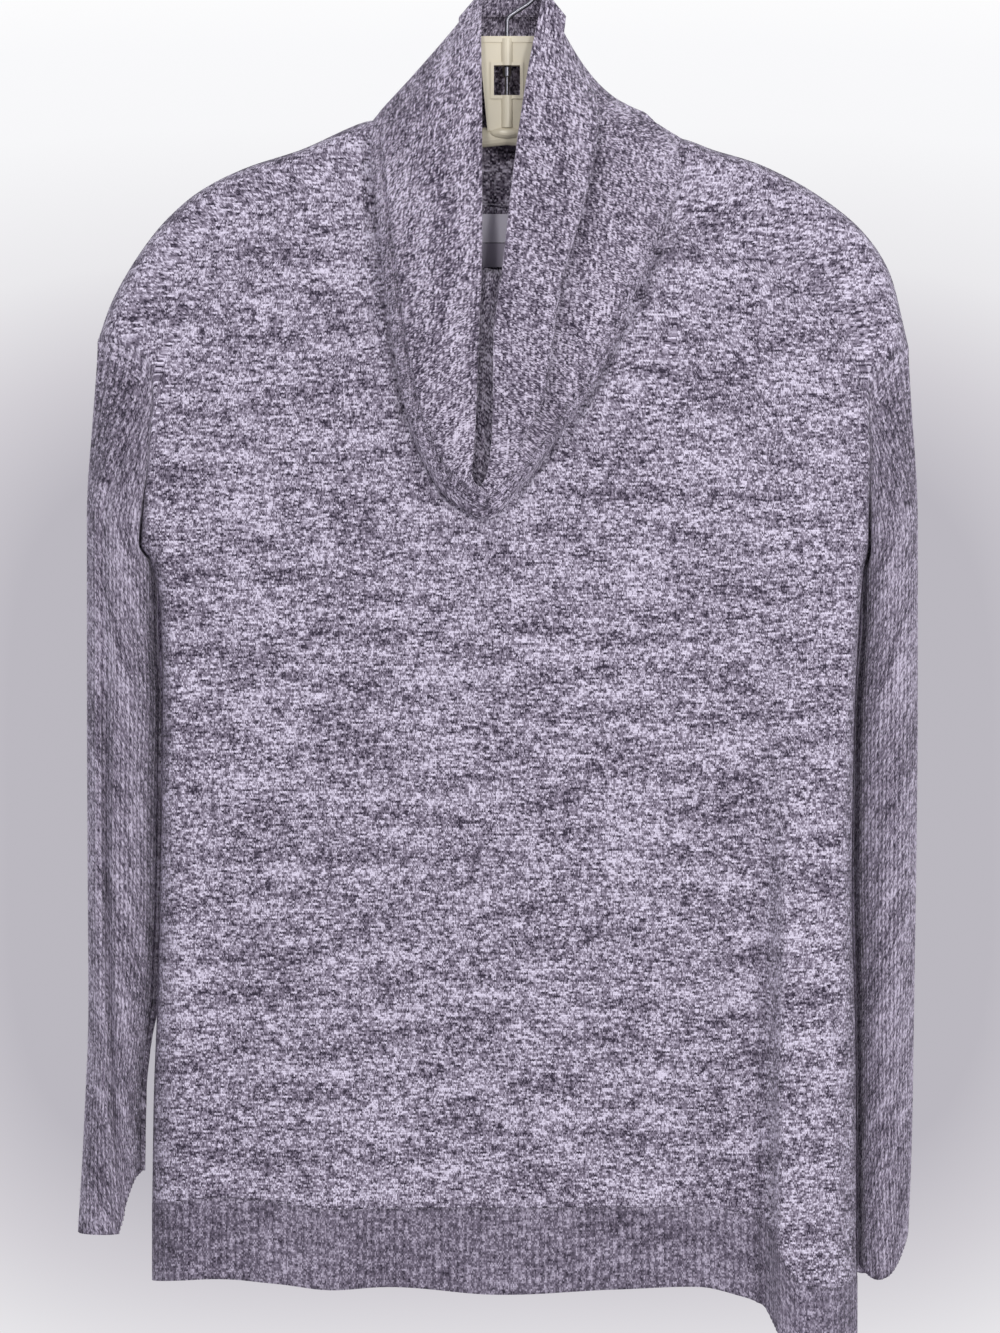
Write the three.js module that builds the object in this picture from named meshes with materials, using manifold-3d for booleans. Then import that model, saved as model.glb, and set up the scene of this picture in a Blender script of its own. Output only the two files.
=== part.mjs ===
// A cowl-neck sweater hanging on a plastic hanger, in millimetres.
// The origin is the inside top of the wire hook, where a rail bears.
// X is the viewer's right, Y runs from front to back and Z is up.
// Tables give heights as a drop, the distance below the origin.

import * as THREE from "three";
import { mergeVertices } from "three/addons/utils/BufferGeometryUtils.js";
import Module from "manifold-3d";

const wasm = await Module();
wasm.setup();

// Cloth sizes
const WALL = 2;
const SEAM = 0.3;
const ARMHOLE_GAP = 1.5;
const HALF_SEAM = 0.2;
const HEM_GAP = 1.3;
const NECK_GAP = 1.4;
const REST_GAP = 0.5;
const RIB_RISE = 0.5;
const BAND_RIBS = 108;
const SLEEVE_RIBS = 54;
const RIB_POINTS = 2;
const INNER_EVERY = 4;
const SHOULDER_ROUND = 9;
const SIDE_ROUND = 22;
const LABEL_WALL = 1;

// Hanger sizes
const PLATE = { top: 59.5, bottom: 121, topWidth: 37, bottomWidth: 25.5, thick: 9 };
const WINDOW = { left: -8.5, right: 8.5, top: 78.5, bottom: 98, frame: 2.2, proud: 1.2 };
const BOSS = { radius: 4, top: 61, bottom: 119 };
const RIM = { drop: 122.5, halfWidth: 13.5, halfHeight: 4.5, halfDepth: 8 };
const ARM_HALF_THICK = 4.4;
const HOOK = { wire: 1.5, ring: 22.3, stemTop: 47, head: 2.9, pinDrop: 103, tip: 2.3 };
const BORE_GAP = 0.3;

// The line over the shoulders, where front and back meet, from the left seam end to the right
const SHOULDER = [
  { u: 0, x: -266.5, drop: 258 },
  { u: 0.035, x: -258, drop: 234 },
  { u: 0.075, x: -242, drop: 205 },
  { u: 0.115, x: -222, drop: 181 },
  { u: 0.16, x: -199, drop: 163 },
  { u: 0.21, x: -170, drop: 150 },
  { u: 0.26, x: -135, drop: 140 },
  { u: 0.316, x: -86, drop: 119 },
  { u: 0.762, x: 113, drop: 129 },
  { u: 0.8, x: 135, drop: 135.5 },
  { u: 0.845, x: 160, drop: 142 },
  { u: 0.89, x: 186, drop: 153.5 },
  { u: 0.925, x: 210, drop: 168 },
  { u: 0.955, x: 232, drop: 187 },
  { u: 0.98, x: 249, drop: 213 },
  { u: 1, x: 261.5, drop: 262 },
];
const LEFT_NECK = 0.316;
const RIGHT_NECK = 0.762;

// Side edges of the body from the hem up, then round the armhole to the shoulder seam.
// Depth is how far that edge stands forward on the front and back on the back.
const LEFT_EDGE = [
  { v: 0, x: -231, drop: 819, depth: 0 },
  { v: 0.12, x: -230, drop: 751, depth: 0 },
  { v: 0.24, x: -227.5, drop: 684, depth: 0 },
  { v: 0.41, x: -225.5, drop: 589, depth: 0 },
  { v: 0.58, x: -224.3, drop: 494, depth: 0 },
  { v: 0.69, x: -226, drop: 431, depth: 0 },
  { v: 0.74, x: -232, drop: 402, depth: 0 },
  { v: 0.765, x: -238.5, drop: 391, depth: 0 },
  { v: 0.81, x: -236.5, drop: 366, depth: 12 },
  { v: 0.87, x: -232, drop: 328, depth: 18.5 },
  { v: 0.92, x: -230, drop: 290, depth: 17 },
  { v: 0.945, x: -233, drop: 273, depth: 16 },
  { v: 0.965, x: -241.5, drop: 265, depth: 14.5 },
  { v: 0.985, x: -255, drop: 259.5, depth: 10.5 },
  { v: 1, x: -266.5, drop: 258, depth: 0 },
];
const RIGHT_EDGE = [
  { v: 0, x: 228, drop: 866, depth: 0 },
  { v: 0.12, x: 228, drop: 790, depth: 0 },
  { v: 0.24, x: 227.5, drop: 717, depth: 0 },
  { v: 0.41, x: 225, drop: 616, depth: 0 },
  { v: 0.58, x: 226.5, drop: 512, depth: 0 },
  { v: 0.69, x: 230, drop: 442, depth: 0 },
  { v: 0.74, x: 233, drop: 408, depth: 0 },
  { v: 0.765, x: 236, drop: 394, depth: 0 },
  { v: 0.81, x: 236, drop: 370, depth: 12 },
  { v: 0.87, x: 236, drop: 338, depth: 18.5 },
  { v: 0.92, x: 235, drop: 303, depth: 17 },
  { v: 0.945, x: 236, drop: 289, depth: 16 },
  { v: 0.965, x: 243, drop: 278, depth: 14 },
  { v: 0.985, x: 253, drop: 268, depth: 10 },
  { v: 1, x: 261.5, drop: 262, depth: 0 },
];
const EDGE_REACH = 0.35;

// How the body stands away from its middle plane: over the chest, then a little more at the hem
const SWELL = { chest: 13.5, over: 110, hem: 3, hemFrom: 600, hemOver: 270 };

// Top and bottom of the ribbed hem bands
const FRONT_HEM = [
  { x: -231, top: 819, bottom: 869 },
  { x: -190, top: 814, bottom: 867 },
  { x: -150, top: 817, bottom: 870 },
  { x: -112, top: 822, bottom: 874 },
  { x: -78, top: 821, bottom: 872 },
  { x: -5, top: 821, bottom: 877 },
  { x: 64, top: 820, bottom: 874 },
  { x: 123, top: 820, bottom: 872 },
  { x: 152, top: 824, bottom: 878 },
  { x: 166, top: 829, bottom: 884 },
  { x: 173, top: 840, bottom: 896 },
  { x: 180, top: 857, bottom: 912 },
  { x: 190, top: 869, bottom: 924 },
  { x: 212, top: 872, bottom: 926 },
  { x: 228, top: 866, bottom: 920 },
];
const BACK_HEM = [
  { x: -231, top: 819, bottom: 868 },
  { x: -160, top: 813, bottom: 865 },
  { x: -60, top: 815, bottom: 867 },
  { x: 60, top: 816, bottom: 869 },
  { x: 122, top: 815, bottom: 867 },
  { x: 162, top: 822, bottom: 876 },
  { x: 194, top: 846, bottom: 902 },
  { x: 228, top: 866, bottom: 930 },
];

// The seam round the neck, from the back centre by the left shoulder to the front and on
const NECK_SEAM = [
  { around: 0, x: 12, drop: 170, y: 14 },
  { around: 0.06, x: -32, drop: 161, y: 13 },
  { around: 0.12, x: -70, drop: 136, y: 10.5 },
  { around: 0.14, x: -81, drop: 125, y: 8 },
  { around: 0.16, x: -86, drop: 119, y: 0 },
  { around: 0.18, x: -86.5, drop: 125, y: -7.6 },
  { around: 0.2, x: -85, drop: 137, y: -10.5 },
  { around: 0.26, x: -74, drop: 168, y: -13.4 },
  { around: 0.33, x: -57, drop: 196, y: -15.6 },
  { around: 0.41, x: -32, drop: 221, y: -17 },
  { around: 0.5, x: -3, drop: 231, y: -17.4 },
  { around: 0.59, x: 32, drop: 222, y: -17 },
  { around: 0.67, x: 66, drop: 201, y: -15.6 },
  { around: 0.74, x: 94, drop: 175, y: -13.4 },
  { around: 0.8, x: 111, drop: 148, y: -10.5 },
  { around: 0.82, x: 114, drop: 135, y: -8 },
  { around: 0.84, x: 113, drop: 129, y: 0 },
  { around: 0.86, x: 108, drop: 135, y: 8 },
  { around: 0.88, x: 97, drop: 146, y: 10.5 },
  { around: 0.94, x: 58, drop: 163, y: 13 },
];
const LEFT_SHOULDER = 0.16;
const RIGHT_SHOULDER = 0.84;

// The fold at the foot of the cowl, and how much of the collar hides behind it
const COLLAR_FOLD = [
  { around: 0, x: 9, drop: 122, y: 20, hidden: 0 },
  { around: 0.06, x: -30, drop: 117, y: 18.5, hidden: 0 },
  { around: 0.12, x: -62, drop: 110, y: 11.5, hidden: 0 },
  { around: 0.16, x: -83, drop: 105, y: 0, hidden: 0 },
  { around: 0.2, x: -88, drop: 134, y: -17, hidden: 0.15 },
  { around: 0.26, x: -84.5, drop: 174, y: -22, hidden: 0.7 },
  { around: 0.32, x: -79, drop: 224, y: -25, hidden: 1 },
  { around: 0.38, x: -70, drop: 284, y: -27.5, hidden: 1 },
  { around: 0.43, x: -58, drop: 325, y: -29, hidden: 1 },
  { around: 0.47, x: -36, drop: 357, y: -30, hidden: 1 },
  { around: 0.5, x: -11, drop: 368, y: -30.5, hidden: 1 },
  { around: 0.53, x: 12, drop: 346, y: -30, hidden: 1 },
  { around: 0.58, x: 36, drop: 315, y: -29, hidden: 1 },
  { around: 0.63, x: 58, drop: 283, y: -28, hidden: 1 },
  { around: 0.69, x: 80, drop: 234, y: -26, hidden: 1 },
  { around: 0.75, x: 99, drop: 188, y: -22, hidden: 0.7 },
  { around: 0.8, x: 113, drop: 144, y: -17, hidden: 0.15 },
  { around: 0.84, x: 90, drop: 112, y: 0, hidden: 0 },
  { around: 0.88, x: 74, drop: 117, y: 11.5, hidden: 0 },
  { around: 0.94, x: 46, drop: 121, y: 18.5, hidden: 0 },
];

// The rim of the collar: the top behind the hook, then down and up the sides of the slit
const COLLAR_RIM = [
  { around: 0, x: 5, drop: 26, y: 14 },
  { around: 0.06, x: -3, drop: 27, y: 12.5 },
  { around: 0.12, x: -11, drop: 29.5, y: 7 },
  { around: 0.16, x: -16.5, drop: 33, y: -2 },
  { around: 0.2, x: -18, drop: 60, y: -15 },
  { around: 0.26, x: -15, drop: 121, y: -24 },
  { around: 0.32, x: -15, drop: 190, y: -31 },
  { around: 0.38, x: -15.5, drop: 262, y: -36 },
  { around: 0.43, x: -17.5, drop: 315, y: -39 },
  { around: 0.47, x: -21, drop: 345, y: -41 },
  { around: 0.5, x: -17, drop: 354, y: -42 },
  { around: 0.53, x: -12.5, drop: 343, y: -42 },
  { around: 0.58, x: -11, drop: 308, y: -41 },
  { around: 0.63, x: -10, drop: 262, y: -39 },
  { around: 0.69, x: -3, drop: 208, y: -35 },
  { around: 0.75, x: 5, drop: 145, y: -29 },
  { around: 0.8, x: 14, drop: 80, y: -19 },
  { around: 0.84, x: 26, drop: 32, y: -3 },
  { around: 0.88, x: 20, drop: 28.5, y: 7 },
  { around: 0.94, x: 13, drop: 27, y: 12.5 },
];

// Between fold and rim: sag below the straight line, bulge outwards, and the pleat on the right
const COLLAR_FACE = [
  { around: 0, sag: 0, bulge: 3, pleatAt: 0.5, pleat: 0 },
  { around: 0.16, sag: 7, bulge: 0, pleatAt: 0.5, pleat: 0 },
  { around: 0.28, sag: 0, bulge: 5, pleatAt: 0.5, pleat: 0 },
  { around: 0.5, sag: 0, bulge: 1, pleatAt: 0.1, pleat: 0 },
  { around: 0.58, sag: 0, bulge: 3, pleatAt: 0.3, pleat: 4 },
  { around: 0.69, sag: 0, bulge: 5, pleatAt: 0.52, pleat: 8 },
  { around: 0.8, sag: 4, bulge: 3, pleatAt: 0.52, pleat: 6 },
  { around: 0.84, sag: 18, bulge: 0, pleatAt: 0.55, pleat: 3 },
  { around: 0.9, sag: 4, bulge: 3, pleatAt: 0.5, pleat: 0 },
];
const FOLD_RADIUS = 5.5;
const PLEAT_SOFT = 0.14;
const SEAM_RISE = { drop: 9, y: 3 };
const NECK_MIDDLE = { x: 8, drop: 125 };

// Sleeve rings below the armhole, down to the cuff
const LEFT_SLEEVE = [
  { along: 1, outer: -273.5, inner: -232.5, front: -29, back: 62, outerDrop: 432, innerDrop: 444 },
  { along: 2, outer: -273.5, inner: -231, front: -31, back: 66, outerDrop: 500, innerDrop: 500 },
  { along: 3, outer: -273, inner: -231, front: -32, back: 64, outerDrop: 600, innerDrop: 598 },
  { along: 4, outer: -272.5, inner: -234.5, front: -31, back: 58, outerDrop: 690, innerDrop: 680 },
  { along: 5, outer: -275, inner: -239.5, front: -30, back: 52, outerDrop: 765, innerDrop: 745 },
  { along: 6, outer: -279, inner: -238, front: -29, back: 46, outerDrop: 838, innerDrop: 800 },
];
const RIGHT_SLEEVE = [
  { along: 1, outer: 267.5, inner: 234, front: -27, back: 64, outerDrop: 432, innerDrop: 444 },
  { along: 2, outer: 267.5, inner: 231, front: -28, back: 66, outerDrop: 500, innerDrop: 500 },
  { along: 3, outer: 266.5, inner: 230, front: -28, back: 62, outerDrop: 600, innerDrop: 600 },
  { along: 4, outer: 265, inner: 230, front: -27, back: 56, outerDrop: 690, innerDrop: 694 },
  { along: 5, outer: 263.5, inner: 231, front: -26, back: 50, outerDrop: 775, innerDrop: 785 },
  { along: 6, outer: 261, inner: 231, front: -25, back: 44, outerDrop: 838, innerDrop: 868 },
];

// The crease down each sleeve's front, how far the inner edge falls back from there,
// and whether the cuff stays level up to it
const LEFT_CREASE = [
  { along: 1, x: -262, recede: 9, hold: 1 },
  { along: 2, x: -262, recede: 14, hold: 1 },
  { along: 3, x: -261, recede: 20, hold: 1 },
  { along: 4, x: -259, recede: 26, hold: 1 },
  { along: 5, x: -257, recede: 28, hold: 1 },
  { along: 6, x: -254, recede: 28, hold: 1 },
];
const RIGHT_CREASE = [
  { along: 1, x: 245, recede: 6, hold: 0 },
  { along: 2, x: 245, recede: 6, hold: 0 },
  { along: 3, x: 243, recede: 6, hold: 0 },
  { along: 4, x: 243, recede: 6, hold: 0 },
  { along: 5, x: 242, recede: 6, hold: 0 },
  { along: 6, x: 242, recede: 6, hold: 0 },
];
const SLEEVE_ROWS = [0, 0.16, 0.38, 0.68, 1, 2, 3, 4, 5, 6];
const CREASE_SOFT = 2;
const SLEEVE_CLEAR = 3.5;
const SLEEVE_HEAD = { start: 0.012, swing: 1.6, straight: 0.65, clearBy: 0.16 };
const SLEEVE_SQUARE = { across: 0.85, deep: 0.9 };

// The flute at the front's right: where it starts, how far it stands forward, how soft it is
const FLUTE = [
  { drop: 300, x: 172, forward: 0, soft: 60 },
  { drop: 400, x: 174, forward: 3, soft: 44 },
  { drop: 520, x: 174, forward: 7, soft: 30 },
  { drop: 640, x: 175, forward: 12, soft: 14 },
  { drop: 760, x: 174, forward: 15, soft: 9 },
  { drop: 900, x: 173, forward: 17, soft: 8 },
];

// Drag folds from the neck and soft waves at the hems, each a trough or ridge along a line
const FRONT_FOLDS = [
  { x1: -144, drop1: 145, x2: -108, drop2: 196, wide: 13, forward: -2.5 },
  { x1: -108, drop1: 196, x2: -80, drop2: 262, wide: 12, forward: -2.5 },
  { x1: -178, drop1: 640, x2: -174, drop2: 860, wide: 26, forward: -3 },
  { x1: -118, drop1: 620, x2: -120, drop2: 860, wide: 34, forward: 3 },
  { x1: -40, drop1: 700, x2: -50, drop2: 860, wide: 30, forward: -2 },
  { x1: 20, drop1: 680, x2: 18, drop2: 860, wide: 40, forward: 3 },
  { x1: 112, drop1: 640, x2: 108, drop2: 860, wide: 30, forward: -3 },
];
const BACK_FOLDS = [
  { x1: -150, drop1: 380, x2: -160, drop2: 860, wide: 34, forward: -4 },
  { x1: -60, drop1: 520, x2: -66, drop2: 880, wide: 40, forward: 4 },
  { x1: 50, drop1: 470, x2: 58, drop2: 890, wide: 36, forward: -4 },
  { x1: 150, drop1: 420, x2: 152, drop2: 900, wide: 36, forward: 4 },
];

// Columns across and rows up each body panel, closer where it turns
const LEFT_COLUMNS = [0, 0.003, 0.012, 0.028, 0.05, 0.09, 0.13, 0.17, 0.215, 0.26, 0.316];
const RIGHT_COLUMNS = [0.762, 0.8, 0.84, 0.882, 0.915, 0.938, 0.96, 0.98, 0.994, 1];
const NECK_COLUMNS = [0.35, 0.39, 0.43, 0.47, 0.51, 0.55, 0.59, 0.63, 0.68, 0.72];
const FLUTE_COLUMNS = [0.862, 0.872, 0.895];
const FRONT_COLUMNS = [...LEFT_COLUMNS, ...NECK_COLUMNS, ...RIGHT_COLUMNS, ...FLUTE_COLUMNS];
FRONT_COLUMNS.sort((a, b) => a - b);
const BACK_COLUMNS = [...LEFT_COLUMNS, 0.37, 0.43, 0.5, 0.57, 0.64, 0.71, ...RIGHT_COLUMNS];
const PANEL_ROWS = [
  0, 0.1, 0.2, 0.31, 0.42, 0.53, 0.62, 0.69, 0.74, 0.765, 0.81, 0.85, 0.89, 0.92, 0.945, 0.965, 0.98, 0.99,
  0.9965, 1,
];
const FRONT = -1;
const BACK = 1;

const NECK_LABEL = { x1: -25, x2: 25, top: 174.5, bottom: 193 };
const SIZE_LABEL = { x1: -16, x2: 10, top: 193.6, bottom: 209 };

const { lerp } = THREE.MathUtils;
const clamp01 = (t) => THREE.MathUtils.clamp(t, 0, 1);
const ease = (t) => THREE.MathUtils.smoothstep(t, 0, 1);
const spot = (x, drop, y) => new THREE.Vector3(x, y, -drop);

// Reads one column of a table at a place between its rows, on a smooth curve without overshoot
function read(rows, key, value, name) {
  let i = 0;
  while (i < rows.length - 2 && value > rows[i + 1][key]) i += 1;
  const a = rows[i];
  const b = rows[i + 1];
  const span = b[key] - a[key];
  const t = clamp01((value - a[key]) / span);
  const slope = (b[name] - a[name]) / span;
  const next = (k) => (rows[k + 1][name] - rows[k][name]) / (rows[k + 1][key] - rows[k][key]);
  const mean = (p, q) => (p * q <= 0 ? 0 : (2 * p * q) / (p + q));
  const enter = i > 0 ? mean(next(i - 1), slope) : slope;
  const leave = i < rows.length - 2 ? mean(slope, next(i + 1)) : slope;
  const t2 = t * t;
  const t3 = t2 * t;
  return (
    (2 * t3 - 3 * t2 + 1) * a[name] +
    (t3 - 2 * t2 + t) * span * enter +
    (3 * t2 - 2 * t3) * b[name] +
    (t3 - t2) * span * leave
  );
}

// Makes a table that goes round a ring readable past both ends
function ringTable(rows) {
  const shifted = (by) => rows.map((row) => ({ ...row, around: row.around + by }));
  return [...shifted(-1).slice(-3), ...rows, ...shifted(1).slice(0, 3)];
}

const neckSeam = ringTable(NECK_SEAM);
const collarFold = ringTable(COLLAR_FOLD);
const collarRim = ringTable(COLLAR_RIM);
const collarFace = ringTable(COLLAR_FACE);

const inNeck = (u) => u >= LEFT_NECK && u <= RIGHT_NECK;
const backTurns = BACK_COLUMNS.filter(inNeck).map((u) => columnTurn(BACK, u));
const frontTurns = FRONT_COLUMNS.filter(inNeck).map((u) => columnTurn(FRONT, u));
const seamTurns = [...backTurns, ...frontTurns, ...backTurns.map((t) => t + 1)].sort((a, b) => a - b);

function ringSpot(table, around) {
  const at = (name) => read(table, "around", around, name);
  return spot(at("x"), at("drop"), at("y"));
}

// The neck seam as the panels' straight pieces make it, so the collar meets them evenly
function seamSpot(turn) {
  const after = seamTurns.findIndex((t) => t >= turn);
  const b = seamTurns[after];
  const a = seamTurns[after - 1];
  return ringSpot(neckSeam, a).lerp(ringSpot(neckSeam, b), (turn - a) / (b - a));
}

function columnTurn(side, u) {
  const t = (u - LEFT_NECK) / (RIGHT_NECK - LEFT_NECK);
  return side === FRONT ? lerp(LEFT_SHOULDER, RIGHT_SHOULDER, t) : lerp(LEFT_SHOULDER, RIGHT_SHOULDER - 1, t);
}

// Height of the shoulder line over any x, level across the neck
function shoulderDrop(x) {
  return read(SHOULDER, "x", x, "drop");
}

function foldShape(folds, x, drop) {
  let sum = 0;
  for (const fold of folds) {
    const t = (drop - fold.drop1) / (fold.drop2 - fold.drop1);
    const middle = lerp(fold.x1, fold.x2, clamp01(t));
    const across = Math.exp(-(((x - middle) / (fold.wide / 2)) ** 2));
    const fade = ease((t + 0.15) / 0.45) * ease((1.35 - t) / 0.35);
    sum += fold.forward * across * fade;
  }
  return sum;
}

// How far the cloth stands away from the plane between front and back
function clothDepth(side, x, drop) {
  const below = Math.max(0, drop - shoulderDrop(x));
  const chest = SWELL.chest * (1 - Math.exp(-below / SWELL.over));
  const away = SHOULDER_ROUND + chest + SWELL.hem * ease((drop - SWELL.hemFrom) / SWELL.hemOver);
  if (side === BACK) return away + foldShape(BACK_FOLDS, x, drop);
  const at = (name) => read(FLUTE, "drop", drop, name);
  const step = at("forward") * ease((x - at("x")) / at("soft") + 0.5);
  return away + step + foldShape(FRONT_FOLDS, x, drop);
}

function hemRow(side, x, name) {
  return read(side === FRONT ? FRONT_HEM : BACK_HEM, "x", x, name);
}

function bottomSpot(side, u) {
  const x = lerp(LEFT_EDGE[0].x, RIGHT_EDGE[0].x, u);
  return { x, drop: hemRow(side, x, "top"), depth: 0 };
}

// The upper border of a panel: shoulder, neckline, shoulder
function topSpot(side, u) {
  if (u <= LEFT_NECK || u >= RIGHT_NECK) {
    return { x: read(SHOULDER, "u", u, "x"), drop: read(SHOULDER, "u", u, "drop"), depth: 0 };
  }
  const p = ringSpot(neckSeam, columnTurn(side, u));
  return { x: p.x, drop: -p.z, depth: Math.abs(p.y) };
}

function edgeSpot(rows, v) {
  const at = (name) => read(rows, "v", v, name);
  return { x: at("x"), drop: at("drop"), depth: at("depth") };
}

// A point of a body panel: u runs from the left edge to the right, v from the hem to the top
function panelSpot(side, u, v) {
  const bottom = bottomSpot(side, u);
  const top = topSpot(side, u);
  const left = edgeSpot(LEFT_EDGE, v);
  const right = edgeSpot(RIGHT_EDGE, v);
  const pullLeft = clamp01(1 - u / EDGE_REACH) ** 1.3;
  const pullRight = clamp01(1 - (1 - u) / EDGE_REACH) ** 1.3;
  const place = (name) => {
    const straight = lerp(bottom[name], top[name], v);
    const leftOff = left[name] - lerp(bottomSpot(side, 0)[name], topSpot(side, 0)[name], v);
    const rightOff = right[name] - lerp(bottomSpot(side, 1)[name], topSpot(side, 1)[name], v);
    return straight + pullLeft * leftOff + pullRight * rightOff;
  };
  const x = place("x");
  const drop = place("drop");
  const full = clothDepth(side, x, drop);
  const fromTop = Math.hypot(x - top.x, drop - top.drop);
  const fromSide = Math.min(
    Math.hypot(x - left.x, drop - left.drop),
    Math.hypot(x - right.x, drop - right.drop),
  );
  const edge = fromSide === Math.hypot(x - left.x, drop - left.drop) ? left : right;
  const overTop = lerp(top.depth, full, quarterRound(fromTop / SHOULDER_ROUND));
  const depth = lerp(edge.depth, overTop, quarterRound(fromSide / Math.max(full, SIDE_ROUND)));
  return spot(x, drop, side * (depth + HALF_SEAM));
}

function quarterRound(t) {
  return Math.sqrt(1 - (1 - clamp01(t)) ** 2);
}

// Directions out of a grid of points, level where two pieces meet edge to edge
function gridNormals(grid, loop) {
  const last = grid.length - 1;
  return grid.map((row, j) =>
    row.map((point, i) => {
      const n = row.length;
      const before = loop ? row[(i + n - 1) % n] : row[Math.max(i - 1, 0)];
      const after = loop ? row[(i + 1) % n] : row[Math.min(i + 1, n - 1)];
      const across = after.clone().sub(before);
      const along = grid[Math.min(j + 1, last)][i].clone().sub(grid[Math.max(j - 1, 0)][i]);
      const normal = across.cross(along);
      if (Math.abs(point.y) <= HALF_SEAM + 0.01) normal.y = 0;
      return normal.normalize();
    }),
  );
}

// Turns a grid of outer points into a closed wall; the inner skin may use fewer columns
function wallGeometry(grid, { loop = false, rise = () => 0, every = 1, thick = WALL, flip = false } = {}) {
  const normals = gridNormals(grid, loop);
  const sign = flip ? -1 : 1;
  const points = [];
  const add = (point, normal, by) => points.push(point.clone().addScaledVector(normal, by * sign)) - 1;
  const outer = grid.map((row, j) => row.map((point, i) => add(point, normals[j][i], rise(i, j))));
  const inner = grid.map((row, j) =>
    row.flatMap((point, i) => (i % every === 0 ? [add(point, normals[j][i], -thick)] : [])),
  );
  const faces = [];
  const face = (a, b, c) => (flip ? faces.push(a, c, b) : faces.push(a, b, c));
  skin(outer, loop, face);
  skin(inner, loop, (a, b, c) => face(a, c, b));
  zip(outer[0], inner[0], every, loop, (a, b, c) => face(b, a, c));
  zip(outer.at(-1), inner.at(-1), every, loop, face);
  if (!loop) {
    sideStrip(outer.map((row) => row[0]), inner.map((row) => row[0]), face);
    sideStrip(outer.map((row) => row.at(-1)), inner.map((row) => row.at(-1)), (a, b, c) => face(a, c, b));
  }
  const geometry = new THREE.BufferGeometry();
  geometry.setAttribute("position", new THREE.Float32BufferAttribute(points.flatMap((p) => p.toArray()), 3));
  geometry.setIndex(faces);
  return geometry;
}

function skin(rows, loop, face) {
  for (let j = 0; j < rows.length - 1; j += 1) {
    const n = rows[j].length;
    for (let i = 0; i < (loop ? n : n - 1); i += 1) {
      const k = (i + 1) % n;
      face(rows[j][i], rows[j][k], rows[j + 1][k]);
      face(rows[j][i], rows[j + 1][k], rows[j + 1][i]);
    }
  }
}

// Joins an outer row to its inner row where the inner one has fewer points
function zip(outer, inner, every, loop, face) {
  const count = loop ? inner.length : inner.length - 1;
  const split = Math.floor(every / 2);
  for (let k = 0; k < count; k += 1) {
    const a = inner[k];
    const b = inner[(k + 1) % inner.length];
    const out = (s) => outer[(k * every + s) % outer.length];
    for (let s = 0; s < split; s += 1) face(out(s), out(s + 1), a);
    face(b, a, out(split));
    for (let s = split; s < every; s += 1) face(out(s), out(s + 1), b);
  }
}

function sideStrip(outer, inner, face) {
  for (let j = 0; j < outer.length - 1; j += 1) {
    face(outer[j], outer[j + 1], inner[j + 1]);
    face(outer[j], inner[j + 1], inner[j]);
  }
}

// Spreads points evenly along a line of points
function evenly(line, count, loop) {
  const path = loop ? [...line, line[0]] : line;
  const reach = [0];
  for (let i = 1; i < path.length; i += 1) reach.push(reach[i - 1] + path[i].distanceTo(path[i - 1]));
  const total = reach.at(-1);
  const steps = loop ? count : count - 1;
  return Array.from({ length: count }, (_, k) => {
    const goal = (total * k) / steps;
    let i = 1;
    while (i < path.length - 1 && reach[i] < goal) i += 1;
    return path[i - 1].clone().lerp(path[i], clamp01((goal - reach[i - 1]) / (reach[i] - reach[i - 1])));
  });
}

function panelGeometry(side, columns) {
  const grid = PANEL_ROWS.map((v) => columns.map((u) => panelSpot(side, u, v)));
  return wallGeometry(grid, { flip: side === BACK });
}

// A ribbed band from the panel's hem seam down to the hem
function bandGeometry(side) {
  const columns = side === FRONT ? FRONT_COLUMNS : BACK_COLUMNS;
  const line = evenly(columns.map((u) => panelSpot(side, u, 0)), BAND_RIBS * RIB_POINTS + 1, false);
  const slope = (x) => hemRow(side, x + 0.5, "top") - hemRow(side, x - 0.5, "top");
  const rows = [1, 0].map((part) =>
    line.map((p) => {
      const top = HEM_GAP * Math.hypot(1, slope(p.x)) - p.z;
      const bottom = hemRow(side, p.x, "bottom");
      return spot(p.x, lerp(top, bottom, part), p.y);
    }),
  );
  const rise = (i) => (i % RIB_POINTS) * RIB_RISE;
  return wallGeometry(rows, { rise, every: INNER_EVERY, flip: side === BACK });
}

// The loop where a sleeve is sewn in, from the shoulder round the front to the underarm and back
function armholeLoop(edge) {
  const fine = Array.from({ length: 61 }, (_, k) => {
    const p = edgeSpot(edge, lerp(1, 0.765, k / 60));
    return spot(p.x, p.drop, -p.depth);
  });
  const front = evenly(fine, SLEEVE_RIBS * RIB_POINTS / 2 + 1, false);
  const back = front.slice(1, -1).reverse().map((p) => new THREE.Vector3(p.x, -p.y, p.z));
  return [...front, ...back];
}

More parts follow.
